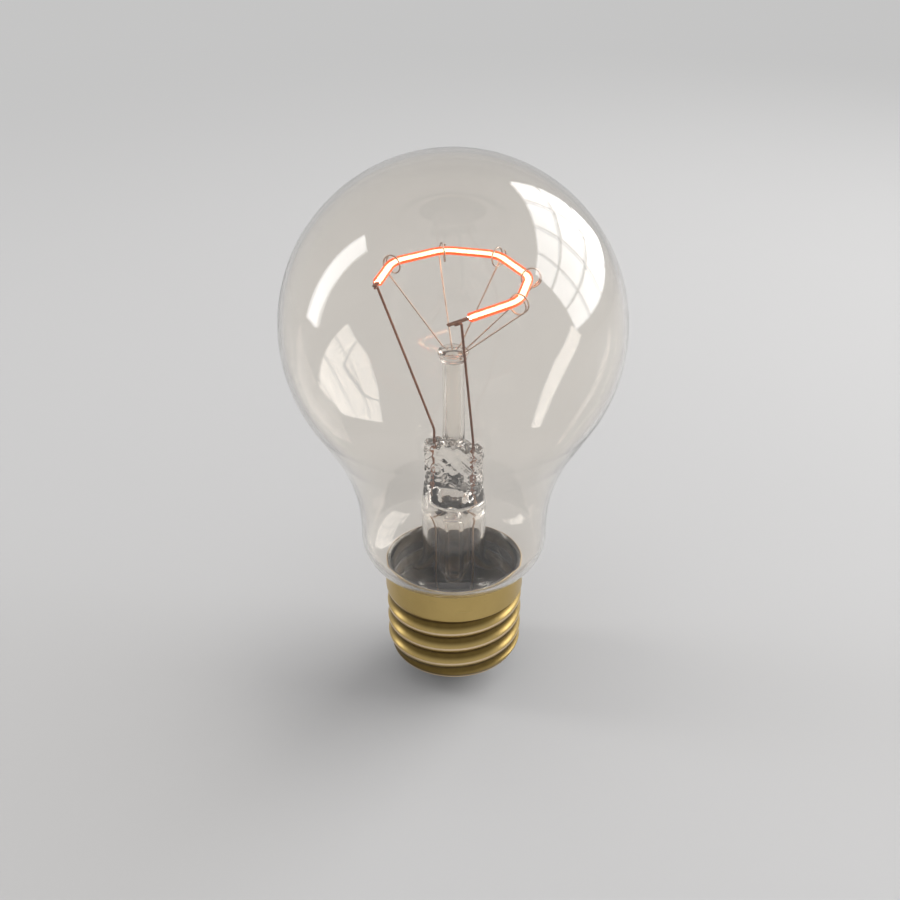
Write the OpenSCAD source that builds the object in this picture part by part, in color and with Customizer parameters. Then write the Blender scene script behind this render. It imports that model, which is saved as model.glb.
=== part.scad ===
// Pear-shaped clear glass lamp with a curved LED filament and a screw cap.
// The origin is the middle of the centre contact's flat underside, and +Z runs up the lamp's axis.
// Heights called a rise are measured up from the cap's rim, and depths down from it.

/* [Glass envelope] */
// Largest outer diameter of the globe
globe_d = 60; // [52:0.5:68]
// Length of the straight neck between the foot and the hollow
neck_l = 2.2; // [1:0.1:8]
// Angle between the glass and the axis where the globe runs down to the neck
taper_angle = 30; // [27:0.5:33]
// Radius of the hollow between the taper and the neck
taper_blend_r = 38; // [28:1:44]
// Outer diameter of the neck
neck_d = 35; // [33:0.25:36.5]
// Radius of the rounded foot of the neck, just above the cap
foot_r = 6.6; // [5.5:0.1:7]
// Radius of the small hollow where the foot turns down into the cap
foot_blend_r = 0.8; // [0.5:0.1:1]
// Thickness of the blown glass
glass_wall = 0.8; // [0.5:0.05:1.2]
// Air between the foot of the neck and the cap's rim
rim_gap = 0.25; // [0.2:0.05:0.6]
// Room for cement between the neck tube and the cap shell
cement_gap = 0.35; // [0.25:0.05:0.6]

/* [Screw cap] */
// Height of the cap, from the contact's underside to the rim
cap_h = 26; // [25:0.25:28]
// Height of the plain collar
collar_h = 5.7; // [5:0.1:6.5]
// Diameter over the thread's crests
thread_major_d = 26.3; // [26.05:0.01:26.34]
// Depth of the thread from its crests to its roots
thread_depth = 0.8; // [0.6:0.05:1]
// How far the plain collar stands out past the crests
collar_step = 0.15; // [0.05:0.05:0.5]
// Pitch of the right-hand thread, seven turns to the inch
thread_pitch = 3.629; // [3.4:0.001:3.8]
// Depth of the first free crest below the rim, on the side that faces -Y
first_crest_depth = 8.8; // [8.2:0.1:9.4]
// Thickness of the brass sheet
shell_wall = 0.3; // [0.2:0.05:0.4]
// Height of the shell's turned-in bottom edge above the contact's underside
shell_foot_z = 6; // [5.5:0.1:6.5]
// Width of the turned-in bottom edge that holds the insulator
shell_lip_w = 1.8; // [1.2:0.1:2.4]

/* [Insulator and contact] */
// Diameter of the flat centre contact
contact_d = 9.6; // [9:0.1:11.5]
// Thickness of the centre contact
contact_t = 1; // [0.8:0.1:1.4]
// Diameter of the hole in the contact that the solder fills
solder_d = 2.6; // [2:0.1:3.5]
// Width of the insulator's flat ring round the contact
insulator_ring_w = 0.5; // [0.3:0.1:1]
// Thickness of the insulator's disc inside the shell
insulator_t = 1; // [0.8:0.1:1.6]
// Bore of the insulator, for the wire to the contact
insulator_bore = 3.2; // [2.8:0.1:4]

/* [Glass stem] */
// Outer diameter of the flare tube
flare_d = 12; // [11:0.25:13]
// Thickness of the flare tube
flare_wall = 0.8; // [0.6:0.05:1]
// Width of the flat glass press that seals the wires
press_w = 11.3; // [10.8:0.1:11.8]
// Thickness of the press
press_t = 4.4; // [4.2:0.1:5.2]
// Rise of the bottom of the flat part of the press
press_bottom_rise = 16; // [14:0.5:17]
// Rise of the top of the press
press_top_rise = 25; // [23:0.5:27]
// Length of the shoulder between the round flare tube and the flat press
press_shoulder_h = 3; // [2.5:0.25:4]
// Length of the press's glass that fills the top of the flare tube
press_plug_h = 2.5; // [1:0.25:4]
// Turn of the press about the axis
press_turn = -19; // [-30:1:0]
// Outer diameter of the exhaust tube
exhaust_d = 6; // [5:0.1:6.2]
// Thickness of the exhaust tube
exhaust_wall = 1.9; // [1.6:0.05:2.1]
// Depth of the exhaust tube's sealed tip below the rim
exhaust_tip_depth = 6; // [4:0.25:9]
// Diameter of the exhaust tube's drawn tip
exhaust_tip_d = 3.8; // [3:0.1:5]
// Height over which the exhaust tube narrows to its tip
exhaust_taper_h = 2.5; // [1.5:0.25:4]
// Outer diameter of the hollow arbor
arbor_d = 4; // [3.6:0.1:4.2]
// Bore of the arbor
arbor_bore = 2.5; // [2:0.1:2.8]
// Diameter of the glass button on the arbor
button_d = 5.6; // [5.2:0.1:6.4]
// Height of the button
button_h = 2.2; // [2:0.1:3]
// Rise of the button's underside
button_rise = 42; // [38:0.5:43]

/* [Wires] */
// Diameter of the inner lead wires
lead_d = 0.45; // [0.35:0.05:0.6]
// Diameter of the seal wires inside the press
seal_d = 0.4; // [0.3:0.05:0.5]
// Diameter of the outer lead wires
outer_lead_d = 0.4; // [0.3:0.05:0.5]
// Height of the right lead's upright start above the press
right_lead_upright = 1; // [0.6:0.1:3]
// Distance of the lead wires from the axis, where they leave the press
lead_offset = 3.75; // [3.5:0.05:4]
// Height of the left lead's upright start above the press
left_lead_upright = 2.4; // [1.5:0.1:4]
// Diameter of the support wires
support_d = 0.28; // [0.2:0.02:0.35]
// Outer diameter of the supports' loops
loop_d = 3.6; // [3.2:0.1:4]
// Distance that a loop advances in one turn
loop_pitch = 0.85; // [0.75:0.05:1]
// Turns in each loop
loop_turns = 1.25; // [1.1:0.05:1.5]

/* [Filament] */
// Diameter of the ring that the filament follows
ring_d = 27.2; // [25:0.2:29]
// Rise of the filament
ring_rise = 57.2; // [54:0.2:60]
// Drop of the filament's front end below the rest
end_drop = 0.8; // [0:0.1:1.5]
// Width of the phosphor coat
coat_w = 1.6; // [1.4:0.05:1.8]
// Height of the phosphor coat
coat_h = 1.3; // [1.15:0.05:1.6]
// Width of the flexible strip
strip_w = 1; // [0.8:0.05:1.1]
// Thickness of the flexible strip
strip_t = 0.16; // [0.12:0.02:0.2]
// Number of LED chips along the strip
chip_count = 26; // [16:1:32]
// Length of a chip
chip_l = 0.7; // [0.4:0.05:0.9]
// Width of a chip
chip_w = 0.5; // [0.4:0.05:0.6]
// Height of a chip
chip_h = 0.25; // [0.15:0.05:0.3]
// Length of the bare metal tab at the filament's start
start_tab_l = 1.8; // [1.5:0.1:3]
// Length of the bare metal tab at the filament's end
end_tab_l = 4; // [3:0.1:5]
// Thickness of the tabs
tab_t = 0.3; // [0.2:0.05:0.4]
// Width of the tabs
tab_w = 0.8; // [0.6:0.05:1]

/* [Driver] */
// Thickness of the insulating cup
cup_wall = 0.6; // [0.5:0.05:0.8]
// Thickness of the circuit board
board_t = 1; // [0.8:0.1:1.2]
// Air between the board and the floor of the cup
board_lift = 1.2; // [1:0.1:1.6]
// Diameter of the smoothing capacitor
capacitor_d = 4; // [3:0.1:4.5]
// Length of the smoothing capacitor
capacitor_l = 7; // [5:0.25:8]
// Length of the bridge rectifier
rectifier_l = 4.6; // [4:0.1:5]
// Width of the bridge rectifier
rectifier_w = 3.8; // [3:0.1:4]
// Height of the bridge rectifier
rectifier_h = 1.6; // [1.2:0.1:2.5]
// Length of the driver chip
driver_chip_l = 4.8; // [4:0.1:5]
// Width of the driver chip
driver_chip_w = 3.8; // [3:0.1:4]
// Height of the driver chip
driver_chip_h = 1.5; // [1:0.1:2]
// Diameter of the fuse resistor
resistor_d = 2; // [1.6:0.1:2.4]
// Length of the fuse resistor
resistor_l = 5.5; // [4:0.25:6]
// Diameter of the insulated wires to the contact and to the shell
hookup_d = 1; // [0.8:0.1:1.2]

/* [Hidden] */
$fn = 72;

// Clearance between glass and the wires and tubes fused into it
fuse_gap = 0.02;
// Clearance between parts that lie on each other
lay_gap = 0.02;
// Clearance between the parts put into the cap
cap_gap = 0.15;
// Length by which a cutting tool runs past the face it cuts
over = 1;
// Thickness of the two slices that a tapering solid is stretched between
slice_t = 0.02;

UP = [0, 0, 1];

// Cap heights and radii
rim_z = cap_h;
collar_r = thread_major_d / 2 + collar_step;
collar_bore_r = collar_r - shell_wall;
collar_foot_z = rim_z - collar_h;
// Thickness of the shell's step under the collar and of its turned-in bottom edge
shell_step_t = 0.4;
// Number of outlines round the shell, and of points on each thread turn
shell_sides = 60;
thread_rows = 7;
// Height over which the thread runs out above the bottom edge
thread_runout_h = 1.2;
// Thickness of the cement bed under the neck tube, and height of the ring round the tube
cement_bed_t = 0.2;
cement_h = 2.2;
// Hollow left under the solder, and height of the solder above the contact
solder_recess = 0.1;
solder_rise = 0.4;
solder_top_z = contact_t + solder_rise;
// Distance from its corner at which the shell wire starts to bend
shell_wire_bend = 0.9;
// Length of the outer leads that stands out under the board
lead_tail = 0.6;
thread_root_r = thread_major_d / 2 - thread_depth;
thread_root_bore_r = thread_root_r - shell_wall;
shell_lip_bore_r = thread_root_r - shell_lip_w;
shell_lip_top_z = shell_foot_z + shell_step_t;
shell_step_top_z = collar_foot_z + shell_step_t;
first_crest_z = rim_z - first_crest_depth;
shell_wire_z = first_crest_z + thread_pitch / 4;
cup_z = shell_lip_top_z + insulator_t;
cup_top_z = shell_wire_z - hookup_d / 2 - cap_gap;
cup_r = thread_root_bore_r - cap_gap;
cup_ledge_w = 1;
board_z = cup_z + cup_wall + board_lift;
board_r = cup_r - cup_wall - cap_gap;
board_top_z = board_z + board_t;

// Envelope heights and radii
globe_r = globe_d / 2;
neck_r = neck_d / 2;
tube_r = collar_bore_r - cement_gap;
tube_end_z = shell_step_top_z + cement_bed_t;
foot_r_centre = neck_r - foot_r;
foot_z = rim_z + sqrt(pow(foot_r + rim_gap, 2) - pow(collar_r - foot_r_centre, 2));
foot_turn = acos((tube_r + foot_blend_r - foot_r_centre) / (foot_r + foot_blend_r));
foot_blend_z = foot_z - (foot_r + foot_blend_r) * sin(foot_turn);
taper_run = (globe_r * cos(taper_angle) - neck_r) / sin(taper_angle);
taper_blend_z = foot_z + neck_l;
globe_z = taper_blend_z + taper_blend_r * tan(taper_angle / 2) + taper_run * cos(taper_angle)
    + globe_r * sin(taper_angle);

// Stem heights and radii
flare_r = flare_d / 2;
flare_sweep_r = tube_r - glass_wall - fuse_gap - flare_r;
flare_bend_z = tube_end_z + flare_wall + flare_sweep_r;
press_z = rim_z + press_bottom_rise;
press_top_z = rim_z + press_top_rise;
flare_top_z = press_z - press_shoulder_h;
plug_z = flare_top_z - press_plug_h;
exhaust_r = exhaust_d / 2;
exhaust_tip_r = exhaust_tip_d / 2;
exhaust_tip_z = rim_z - exhaust_tip_depth + exhaust_tip_r;
exhaust_taper_z = exhaust_tip_z + exhaust_taper_h;
// Depth to which the exhaust tube and the wires are sunk into the press
exhaust_socket = 1.5;
exhaust_top_z = plug_z + exhaust_socket;
seal_socket = 1;
button_z = rim_z + button_rise;
// Where the supports' feet end inside the button: below its top, and out from the axis
button_foot_depth = 1.1;
button_foot_r = 1.2;
button_dish = 0.4;

// Filament route: angle about the axis, and distance outside the ring, at each corner
corner_angle = [186, 142, 97, 55, 4, -41, -80];
corner_out = [-0.9, -0.2, 0.5, 0.3, -0.6, 0.6, 0.8];
// Distance before and after a corner over which the filament bends
corner_cut = 2.2;
corner_steps = 6;
LAST = len(corner_angle) - 1;
ring_z = rim_z + ring_rise;
function corner(i) = let (r = ring_d / 2 + corner_out[i])
    [r * cos(corner_angle[i]), r * sin(corner_angle[i]), ring_z - (i == LAST ? end_drop : 0)];
corners = [for (i = [0:LAST]) corner(i)];

// Driver parts on the board: distances from its edge and between them, and place in x and y
capacitor_edge_gap = 2.7;
resistor_edge_gap = 1.5;
row_gap = 0.7;
part_gap = 4.5;
capacitor_place = [0, board_r - capacitor_edge_gap - capacitor_d / 2];
resistor_place = [1, resistor_edge_gap + resistor_d / 2 - board_r];
row_y = resistor_place[1] + resistor_d / 2 + row_gap;
rectifier_place = [-(part_gap + rectifier_l) / 2, row_y + rectifier_w / 2];
driver_chip_place = [(part_gap + driver_chip_l) / 2, row_y + driver_chip_w / 2];

// Round paths and swept tubes
function unit(v) = v / norm(v);
function arc(centre, r, from, to, steps) =
    [for (i = [0:steps]) let (a = from + (to - from) * i / steps) centre + r * [cos(a), sin(a)]];
// Each inner corner of a path becomes a parabola that starts and ends cut before and after it
function round_corner(a, b, c, cut, steps) = let (p = b + cut * unit(a - b), q = b + cut * unit(c - b))
    [for (i = [0:steps]) let (t = i / steps) (1 - t) * (1 - t) * p + 2 * t * (1 - t) * b + t * t * q];
function round_path(path, cut, steps) = let (n = len(path)) concat([path[0]],
    [for (i = [1:n - 2]) each round_corner(path[i - 1], path[i], path[i + 1], cut, steps)], [path[n - 1]]);
function heading(path, i) = let (last = len(path) - 1)
    unit(unit(path[min(i + 1, last)] - path[min(i, last - 1)]) + unit(path[max(i, 1)] - path[max(i - 1, 0)]));
function ellipse_section(w, h, sides) =
    [for (k = [0:sides - 1]) let (a = 360 * (k + 0.5) / sides) [w / 2 * cos(a), h / 2 * sin(a)]];
// Rounded box outline, as a superellipse of the fourth power
function coat_section(w, h, sides) = [for (k = [0:sides - 1]) let (a = 360 * (k + 0.5) / sides)
    [w / 2 * sign(cos(a)) * sqrt(abs(cos(a))), h / 2 * sign(sin(a)) * sqrt(abs(sin(a)))]];
// The same number of points on a box, with one at each corner when there are 12 of them
function channel_section(w, low, high, sides) = [for (k = [0:sides - 1])
    let (a = 360 * (k + 0.5) / sides, reach = max(abs(cos(a)), abs(sin(a))))
    [w / 2 * cos(a) / reach, (low + high) / 2 + (high - low) / 2 * sin(a) / reach]];
function box_section(w, low, high) = [[w / 2, low], [w / 2, high], [-w / 2, high], [-w / 2, low]];
// One ring of points of the section, square to the path, with the section's y turned towards up
function ring_points(path, section, up, i) = let (t = heading(path, i), y = unit(up - (up * t) * t),
    x = cross(y, t)) [for (s = section) path[i] + s[0] * x + s[1] * y];

// Solid swept along the path: rings of the section joined side by side, closed by two ends
module sweep(path, section, up) {
    n = len(path);
    m = len(section);
    points = [for (i = [0:n - 1]) each ring_points(path, section, up, i)];
    sides = [for (i = [0:n - 2], k = [0:m - 1]) let (a = i * m + k, b = i * m + (k + 1) % m)
        each [[a, a + m, b], [b, a + m, b + m]]];
    ends = [for (k = [1:m - 2]) each [[0, k, k + 1], [(n - 1) * m, (n - 1) * m + k + 1, (n - 1) * m + k]]];
    polyhedron(points, concat(sides, ends), convexity = 8);
}

// Solid with a through channel, swept along the path: both sections have the same number of points
module sweep_tube(path, section, channel, up) {
    n = len(path);
    m = len(section);
    inner = n * m;
    last = (n - 1) * m;
    points = concat([for (i = [0:n - 1]) each ring_points(path, section, up, i)],
        [for (i = [0:n - 1]) each ring_points(path, channel, up, i)]);
    walls = [for (i = [0:n - 2], k = [0:m - 1]) let (a = i * m + k, b = i * m + (k + 1) % m)
        each [[a, a + m, b], [b, a + m, b + m],
            [inner + a, inner + b, inner + a + m], [inner + b, inner + b + m, inner + a + m]]];
    ends = [for (k = [0:m - 1]) let (b = (k + 1) % m)
        each [[k, b, inner + k], [b, inner + b, inner + k],
            [last + k, inner + last + k, last + b], [last + b, inner + last + k, inner + last + b]]];
    polyhedron(points, concat(walls, ends), convexity = 8);
}

// The filament's centre line, its length, and the place and heading at a distance from its start
filament_path = round_path(corners, corner_cut, corner_steps);
function run_to(path, i) = i == 0 ? 0 : run_to(path, i - 1) + norm(path[i] - path[i - 1]);
filament_l = run_to(filament_path, len(filament_path) - 1);
function at_run(path, s, i = 0) = let (l = norm(path[i + 1] - path[i]))
    s <= l || i == len(path) - 2 ? [path[i] + s * unit(path[i + 1] - path[i]), unit(path[i + 1] - path[i])]
    : at_run(path, s - l, i + 1);
filament_start_way = unit(corners[0] - corners[1]);
filament_end_way = unit(corners[LAST] - corners[LAST - 1]);
function side_of(way) = unit(cross(way, UP));

// Underside and top of the channel inside the coat, which holds the strip and the chips on it
channel_low = -strip_t / 2 - lay_gap;
channel_high = strip_t / 2 + chip_h + lay_gap;
coat_sides = 12;

// Envelope side at a depth inside the glass, from the crown down to the end of the neck tube
function envelope_side(depth) = concat(
    arc([0, globe_z], globe_r - depth, 90, -taper_angle, 24),
    arc([neck_r + taper_blend_r, taper_blend_z], taper_blend_r + depth, 180 - taper_angle, 180, 8),
    arc([foot_r_centre, foot_z], foot_r - depth, 0, -foot_turn, 10),
    arc([tube_r + foot_blend_r, foot_blend_z], foot_blend_r + depth, 180 - foot_turn, 180, 5),
    [[tube_r - depth, tube_end_z]]);
function backwards(list) = [for (i = [len(list) - 1:-1:0]) list[i]];

module glass_envelope() {
    color([0.72, 0.7, 0.68, 0.35])
    rotate_extrude() polygon(concat(envelope_side(0), backwards(envelope_side(glass_wall))));
}

// Round tube that opens in a quarter turn to meet the end of the neck tube
module stem_flare() {
    centre = [flare_r + flare_sweep_r, flare_bend_z];
    color([0.75, 0.74, 0.72, 0.4])
    rotate_extrude() polygon(concat(
        [[flare_r, flare_top_z]], arc(centre, flare_sweep_r, 180, 270, 12),
        arc(centre, flare_sweep_r + flare_wall, 270, 180, 12), [[flare_r - flare_wall, flare_top_z]]));
}

module press_outline() {
    end_x = (press_w - press_t) / 2;
    square([2 * end_x, press_t], center = true);
    for (x = [-end_x, end_x]) translate([x, 0]) circle(d = press_t);
}

// Straight hole along the axis, at the lead wires' place on the given side
module lead_hole(side, d, low, high) {
    translate([side * lead_offset, 0, low]) cylinder(d = d, h = high - low);
}

module stem_press() {
    color([0.75, 0.74, 0.72, 0.5])
    rotate(press_turn) difference() {
        union() {
            translate([0, 0, press_z]) linear_extrude(press_top_z - press_z) press_outline();
            hull() {
                translate([0, 0, press_z]) linear_extrude(slice_t) press_outline();
                translate([0, 0, flare_top_z]) cylinder(r = flare_r, h = slice_t, $fn = 32);
            }
            translate([0, 0, plug_z]) cylinder(r = flare_r - flare_wall - fuse_gap, h = press_plug_h);
        }
        translate([0, 0, plug_z - over]) cylinder(r = exhaust_r + fuse_gap, h = exhaust_socket + over);
        for (side = [-1, 1]) {
            lead_hole(side, outer_lead_d + 2 * fuse_gap, plug_z - over, press_z - seal_socket);
            lead_hole(side, seal_d + 2 * fuse_gap, press_z - seal_socket, press_top_z - seal_socket);
            lead_hole(side, lead_d + 2 * fuse_gap, press_top_z - seal_socket, press_top_z + over);
        }
    }
}

// Open tube from the press, drawn to a narrow, closed round tip inside the cap
module exhaust_tube() {
    bore_r = exhaust_r - exhaust_wall;
    color([0.75, 0.74, 0.72, 0.4])
    rotate_extrude() polygon(concat(
        [[exhaust_r, exhaust_top_z], [exhaust_r, exhaust_taper_z]],
        arc([0, exhaust_tip_z], exhaust_tip_r, 0, -90, 8),
        arc([0, exhaust_tip_z], bore_r * exhaust_tip_r / exhaust_r, -90, 0, 8),
        [[bore_r, exhaust_taper_z], [bore_r, exhaust_top_z]]));
}

module arbor_tube() {
    color([0.78, 0.77, 0.75, 0.4])
    translate([0, 0, press_top_z]) difference() {
        cylinder(d = arbor_d, h = button_z - press_top_z);
        translate([0, 0, -over]) cylinder(d = arbor_bore, h = button_z - press_top_z + 2 * over);
    }
}

// Supports: the corner that each one holds, and where its loop and its stem lie
loop_r = (loop_d - support_d) / 2;
function corner_middle(i) = round_corner(corners[i - 1], corners[i], corners[i + 1], corner_cut, 2)[1];
function corner_way(i) = unit(corners[i + 1] - corners[i - 1]);
function corner_outward(i) = let (side = side_of(corner_way(i))) side * sign(side * corners[i]);
// Half of the coat's width across its rounded corners, where a section of four points has its points
coat_reach = norm(coat_section(coat_w, coat_h, 4)[0]);
// Distance from the filament to the loops' centres, which hang outside it and below it at these angles
loop_shift = loop_r - support_d / 2 - coat_reach - lay_gap;
support_hang = [45, 45, 45, 20, 70];
function loop_centre(i) = let (hang = support_hang[i - 1])
    corner_middle(i) + loop_shift * (cos(hang) * corner_outward(i) - sin(hang) * UP);
function support_foot(i) = let (c = loop_centre(i), a = atan2(c[1], c[0]))
    [button_foot_r * cos(a), button_foot_r * sin(a), button_z + button_h - button_foot_depth];
// Angle in the loop's plane at which the straight stem runs into the loop
function loop_start(i) = let (v = loop_centre(i) - support_foot(i), out = v * corner_outward(i))
    atan2(v[2], out) - asin(loop_r / norm([out, v[2]])) - 90;
loop_sides = 24;
function loop_path(i) = let (steps = round(loop_sides * loop_turns), along = corner_way(i))
    [for (k = [0:steps]) let (turn = loop_turns * k / steps, a = loop_start(i) + 360 * turn)
        loop_centre(i) + loop_r * (cos(a) * corner_outward(i) + sin(a) * UP)
        + loop_pitch * (turn - loop_turns / 2) * along];
function support_path(i) = concat([support_foot(i)], loop_path(i));
wire_sides = 8;
function wire_section(d) = ellipse_section(d, d, wire_sides);

module support(i) {
    color([0.62, 0.5, 0.4])
    sweep(support_path(i), wire_section(support_d), corner_way(i));
}

// Straight hole in the button round the foot of a support
module support_hole(i) {
    foot = support_foot(i);
    way = unit(support_path(i)[1] - foot);
    translate(foot - lay_gap * way) rotate([0, acos(way[2]), atan2(way[1], way[0])])
        cylinder(d = support_d + 2 * fuse_gap, h = button_d);
}

// Flattened glass bead with a shallow dish on top
module arbor_button() {
    edge = (button_d - arbor_d) / 2;
    edge_x = arbor_d / 2;
    color([0.78, 0.77, 0.75, 0.5])
    difference() {
        translate([0, 0, button_z]) rotate_extrude() polygon(concat([[0, 0]],
            arc([edge_x, edge], edge, -90, 0, 5), arc([edge_x, button_h - edge], edge, 0, 90, 5),
            [[0, button_h - button_dish]]));
        for (i = [1:LAST - 1]) support_hole(i);
    }
}

// Inner leads: out of the press, then straight to the tab, and flat under it
function tab_under(tip, way, back) = tip - back * way - (tab_t / 2 + lead_d / 2 + lay_gap) * UP;
function lead_out(side, z) = [side * lead_offset * cos(press_turn), side * lead_offset * sin(press_turn), z];
// Length of each lead that lies under its tab, and how far short of the end tab's tip it stops
lead_rest = 1.3;
end_lead_back = 1.3;
lead_bend_cut = 0.5;
lead_bend_steps = 4;
start_tip = corners[0] + start_tab_l * filament_start_way;
end_tip = corners[LAST] + end_tab_l * filament_end_way;
left_lead_path = [lead_out(-1, press_top_z - seal_socket), lead_out(-1, press_top_z + left_lead_upright),
    tab_under(start_tip, filament_start_way, lead_rest), tab_under(start_tip, filament_start_way, 0)];
right_lead_path = [lead_out(1, press_top_z - seal_socket), lead_out(1, press_top_z + right_lead_upright),
    tab_under(end_tip, filament_end_way, end_lead_back + lead_rest),
    tab_under(end_tip, filament_end_way, end_lead_back)];

module inner_lead(path, up) {
    color([0.4, 0.36, 0.33])
    sweep(round_path(path, lead_bend_cut, lead_bend_steps), wire_section(lead_d), up);
}
module inner_lead_left() {
    inner_lead(left_lead_path, side_of(filament_start_way));
}
module inner_lead_right() {
    inner_lead(right_lead_path, side_of(filament_end_way));
}

module seal_wire(side) {
    color([0.7, 0.35, 0.2])
    rotate(press_turn) lead_hole(side, seal_d, press_z - seal_socket, press_top_z - seal_socket);
}

// Straight copper lead from the press down through the board
module outer_lead(side) {
    color([0.75, 0.45, 0.28])
    rotate(press_turn) lead_hole(side, outer_lead_d, board_z - lead_tail, press_z - seal_socket);
}

// Soft coat with a channel through it for the strip and the chips
module filament_coat() {
    channel = channel_section(strip_w + 2 * lay_gap, channel_low, channel_high, coat_sides);
    color([1, 0.72, 0.35])
    sweep_tube(filament_path, coat_section(coat_w, coat_h, coat_sides), channel, UP);
}
module filament_strip() {
    color([0.85, 0.6, 0.3])
    sweep(filament_path, box_section(strip_w, -strip_t / 2, strip_t / 2), UP);
}

// Places for one box or tab along a heading, with its length along X and its middle on the heading
module along(place, way) {
    translate(place) rotate([0, -asin(way[2]), atan2(way[1], way[0])]) children();
}

module filament_chips() {
    color([0.95, 0.85, 0.3])
    for (i = [0:chip_count - 1])
        let (spot = at_run(filament_path, filament_l * (i + 0.5) / chip_count))
        along(spot[0], spot[1])
        translate([-chip_l / 2, -chip_w / 2, strip_t / 2]) cube([chip_l, chip_w, chip_h]);
}

module filament_tab(place, way, length) {
    color([0.35, 0.3, 0.27])
    along(place, way) translate([0, -tab_w / 2, -tab_t / 2]) cube([length, tab_w, tab_t]);
}

// Radius of the outside of the threaded sheet at an angle and a height
function thread_r(angle, z) = let (phase = (z - first_crest_z) / thread_pitch - (angle + 90) / 360,
    runout = min(1, max(0, (z - shell_lip_top_z) / thread_runout_h)))
    thread_root_r + thread_depth / 2 * (1 + cos(360 * phase)) * runout;

// Threaded wall at an angle, between two heights, at a depth inside the sheet
function thread_side(angle, low, high, depth) = let (rows = ceil((high - low) / thread_pitch * thread_rows))
    [for (k = [0:rows]) let (z = low + (high - low) * k / rows) [thread_r(angle, z) - depth, z]];
// Shell's outline at an angle: up the threaded outside, over the collar's rim, and down the inside
function shell_outline(angle) = concat([[shell_lip_bore_r, shell_foot_z]],
    thread_side(angle, shell_foot_z, collar_foot_z, 0),
    [[collar_r, collar_foot_z], [collar_r, rim_z], [collar_bore_r, rim_z], [collar_bore_r, shell_step_top_z]],
    backwards(thread_side(angle, shell_lip_top_z, shell_step_top_z, shell_wall)),
    [[shell_lip_bore_r, shell_lip_top_z]]);

// One sheet: the outlines at every angle, joined side by side right round the axis
module cap_shell() {
    outlines = [for (j = [0:shell_sides - 1]) let (a = 360 * j / shell_sides)
        [for (p = shell_outline(a)) [p[0] * cos(a), p[0] * sin(a), p[1]]]];
    m = len(outlines[0]);
    color([0.72, 0.58, 0.3])
    polyhedron([for (outline = outlines) each outline], [for (j = [0:shell_sides - 1], i = [0:m - 1])
        let (a = j * m + i, b = (j + 1) % shell_sides * m + i, c = j * m + (i + 1) % m,
            d = (j + 1) % shell_sides * m + (i + 1) % m)
        each [[a, d, b], [a, c, d]]], convexity = 8);
}

// Ring of cement that the end of the neck tube is bedded in
module cap_cement() {
    outer_r = collar_bore_r - lay_gap;
    inner_r = tube_r + lay_gap;
    color([0.3, 0.26, 0.22])
    rotate_extrude() polygon([[thread_root_bore_r, shell_step_top_z], [outer_r, shell_step_top_z],
        [outer_r, tube_end_z + cement_h],
        [inner_r, tube_end_z + cement_h], [inner_r, tube_end_z - lay_gap],
        [thread_root_bore_r, tube_end_z - lay_gap]]);
}

module cap_insulator() {
    lip_r = shell_lip_bore_r - lay_gap;
    disc_r = thread_root_bore_r - cap_gap;
    ring_r = contact_d / 2 + insulator_ring_w;
    color([0.08, 0.08, 0.09])
    rotate_extrude() polygon([[insulator_bore / 2, contact_t], [ring_r, contact_t], [lip_r, shell_foot_z],
        [lip_r, shell_lip_top_z], [disc_r, shell_lip_top_z], [disc_r, cup_z], [insulator_bore / 2, cup_z]]);
}

module centre_contact() {
    color([0.75, 0.72, 0.62])
    difference() {
        cylinder(d = contact_d, h = contact_t);
        translate([0, 0, -over]) cylinder(d = solder_d, h = contact_t + 2 * over);
    }
}

module contact_solder() {
    color([0.7, 0.7, 0.72])
    translate([0, 0, solder_recess]) cylinder(d = solder_d - 2 * lay_gap, h = solder_top_z - solder_recess);
}

module contact_wire() {
    color([0.7, 0.12, 0.1])
    translate([0, 0, solder_top_z]) cylinder(d = hookup_d, h = board_z - solder_top_z);
}

// Plastic cup with a ledge for the circuit board
module insulating_cup() {
    wall_r = cup_r - cup_wall;
    hole_r = insulator_bore / 2;
    color([0.12, 0.12, 0.13])
    rotate_extrude() polygon([[hole_r, cup_z], [cup_r, cup_z], [cup_r, cup_top_z], [wall_r, cup_top_z],
        [wall_r, board_z], [wall_r - cup_ledge_w, board_z], [wall_r - cup_ledge_w, cup_z + cup_wall],
        [hole_r, cup_z + cup_wall]]);
}

module driver_board() {
    color([0.13, 0.1, 0.08])
    difference() {
        translate([0, 0, board_z]) cylinder(r = board_r, h = board_t);
        rotate(press_turn) for (side = [-1, 1])
            lead_hole(side, outer_lead_d + 2 * lay_gap, board_z - over, board_top_z + over);
    }
}

// Box that stands on the board, centred on its place
module board_box(place, size) {
    translate([place[0] - size[0] / 2, place[1] - size[1] / 2, board_top_z]) cube(size);
}

// Round part that lies on the board along X, centred on its place
module board_roll(place, d, length) {
    translate([place[0] - length / 2, place[1], board_top_z + d / 2])
        rotate([0, 90, 0]) cylinder(d = d, h = length);
}

module bridge_rectifier() {
    color([0.1, 0.1, 0.11]) board_box(rectifier_place, [rectifier_l, rectifier_w, rectifier_h]);
}
module driver_chip() {
    color([0.13, 0.13, 0.14]) board_box(driver_chip_place, [driver_chip_l, driver_chip_w, driver_chip_h]);
}
module smoothing_capacitor() {
    color([0.2, 0.22, 0.3]) board_roll(capacitor_place, capacitor_d, capacitor_l);
}
module fuse_resistor() {
    color([0.35, 0.5, 0.6]) board_roll(resistor_place, resistor_d, resistor_l);
}

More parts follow.
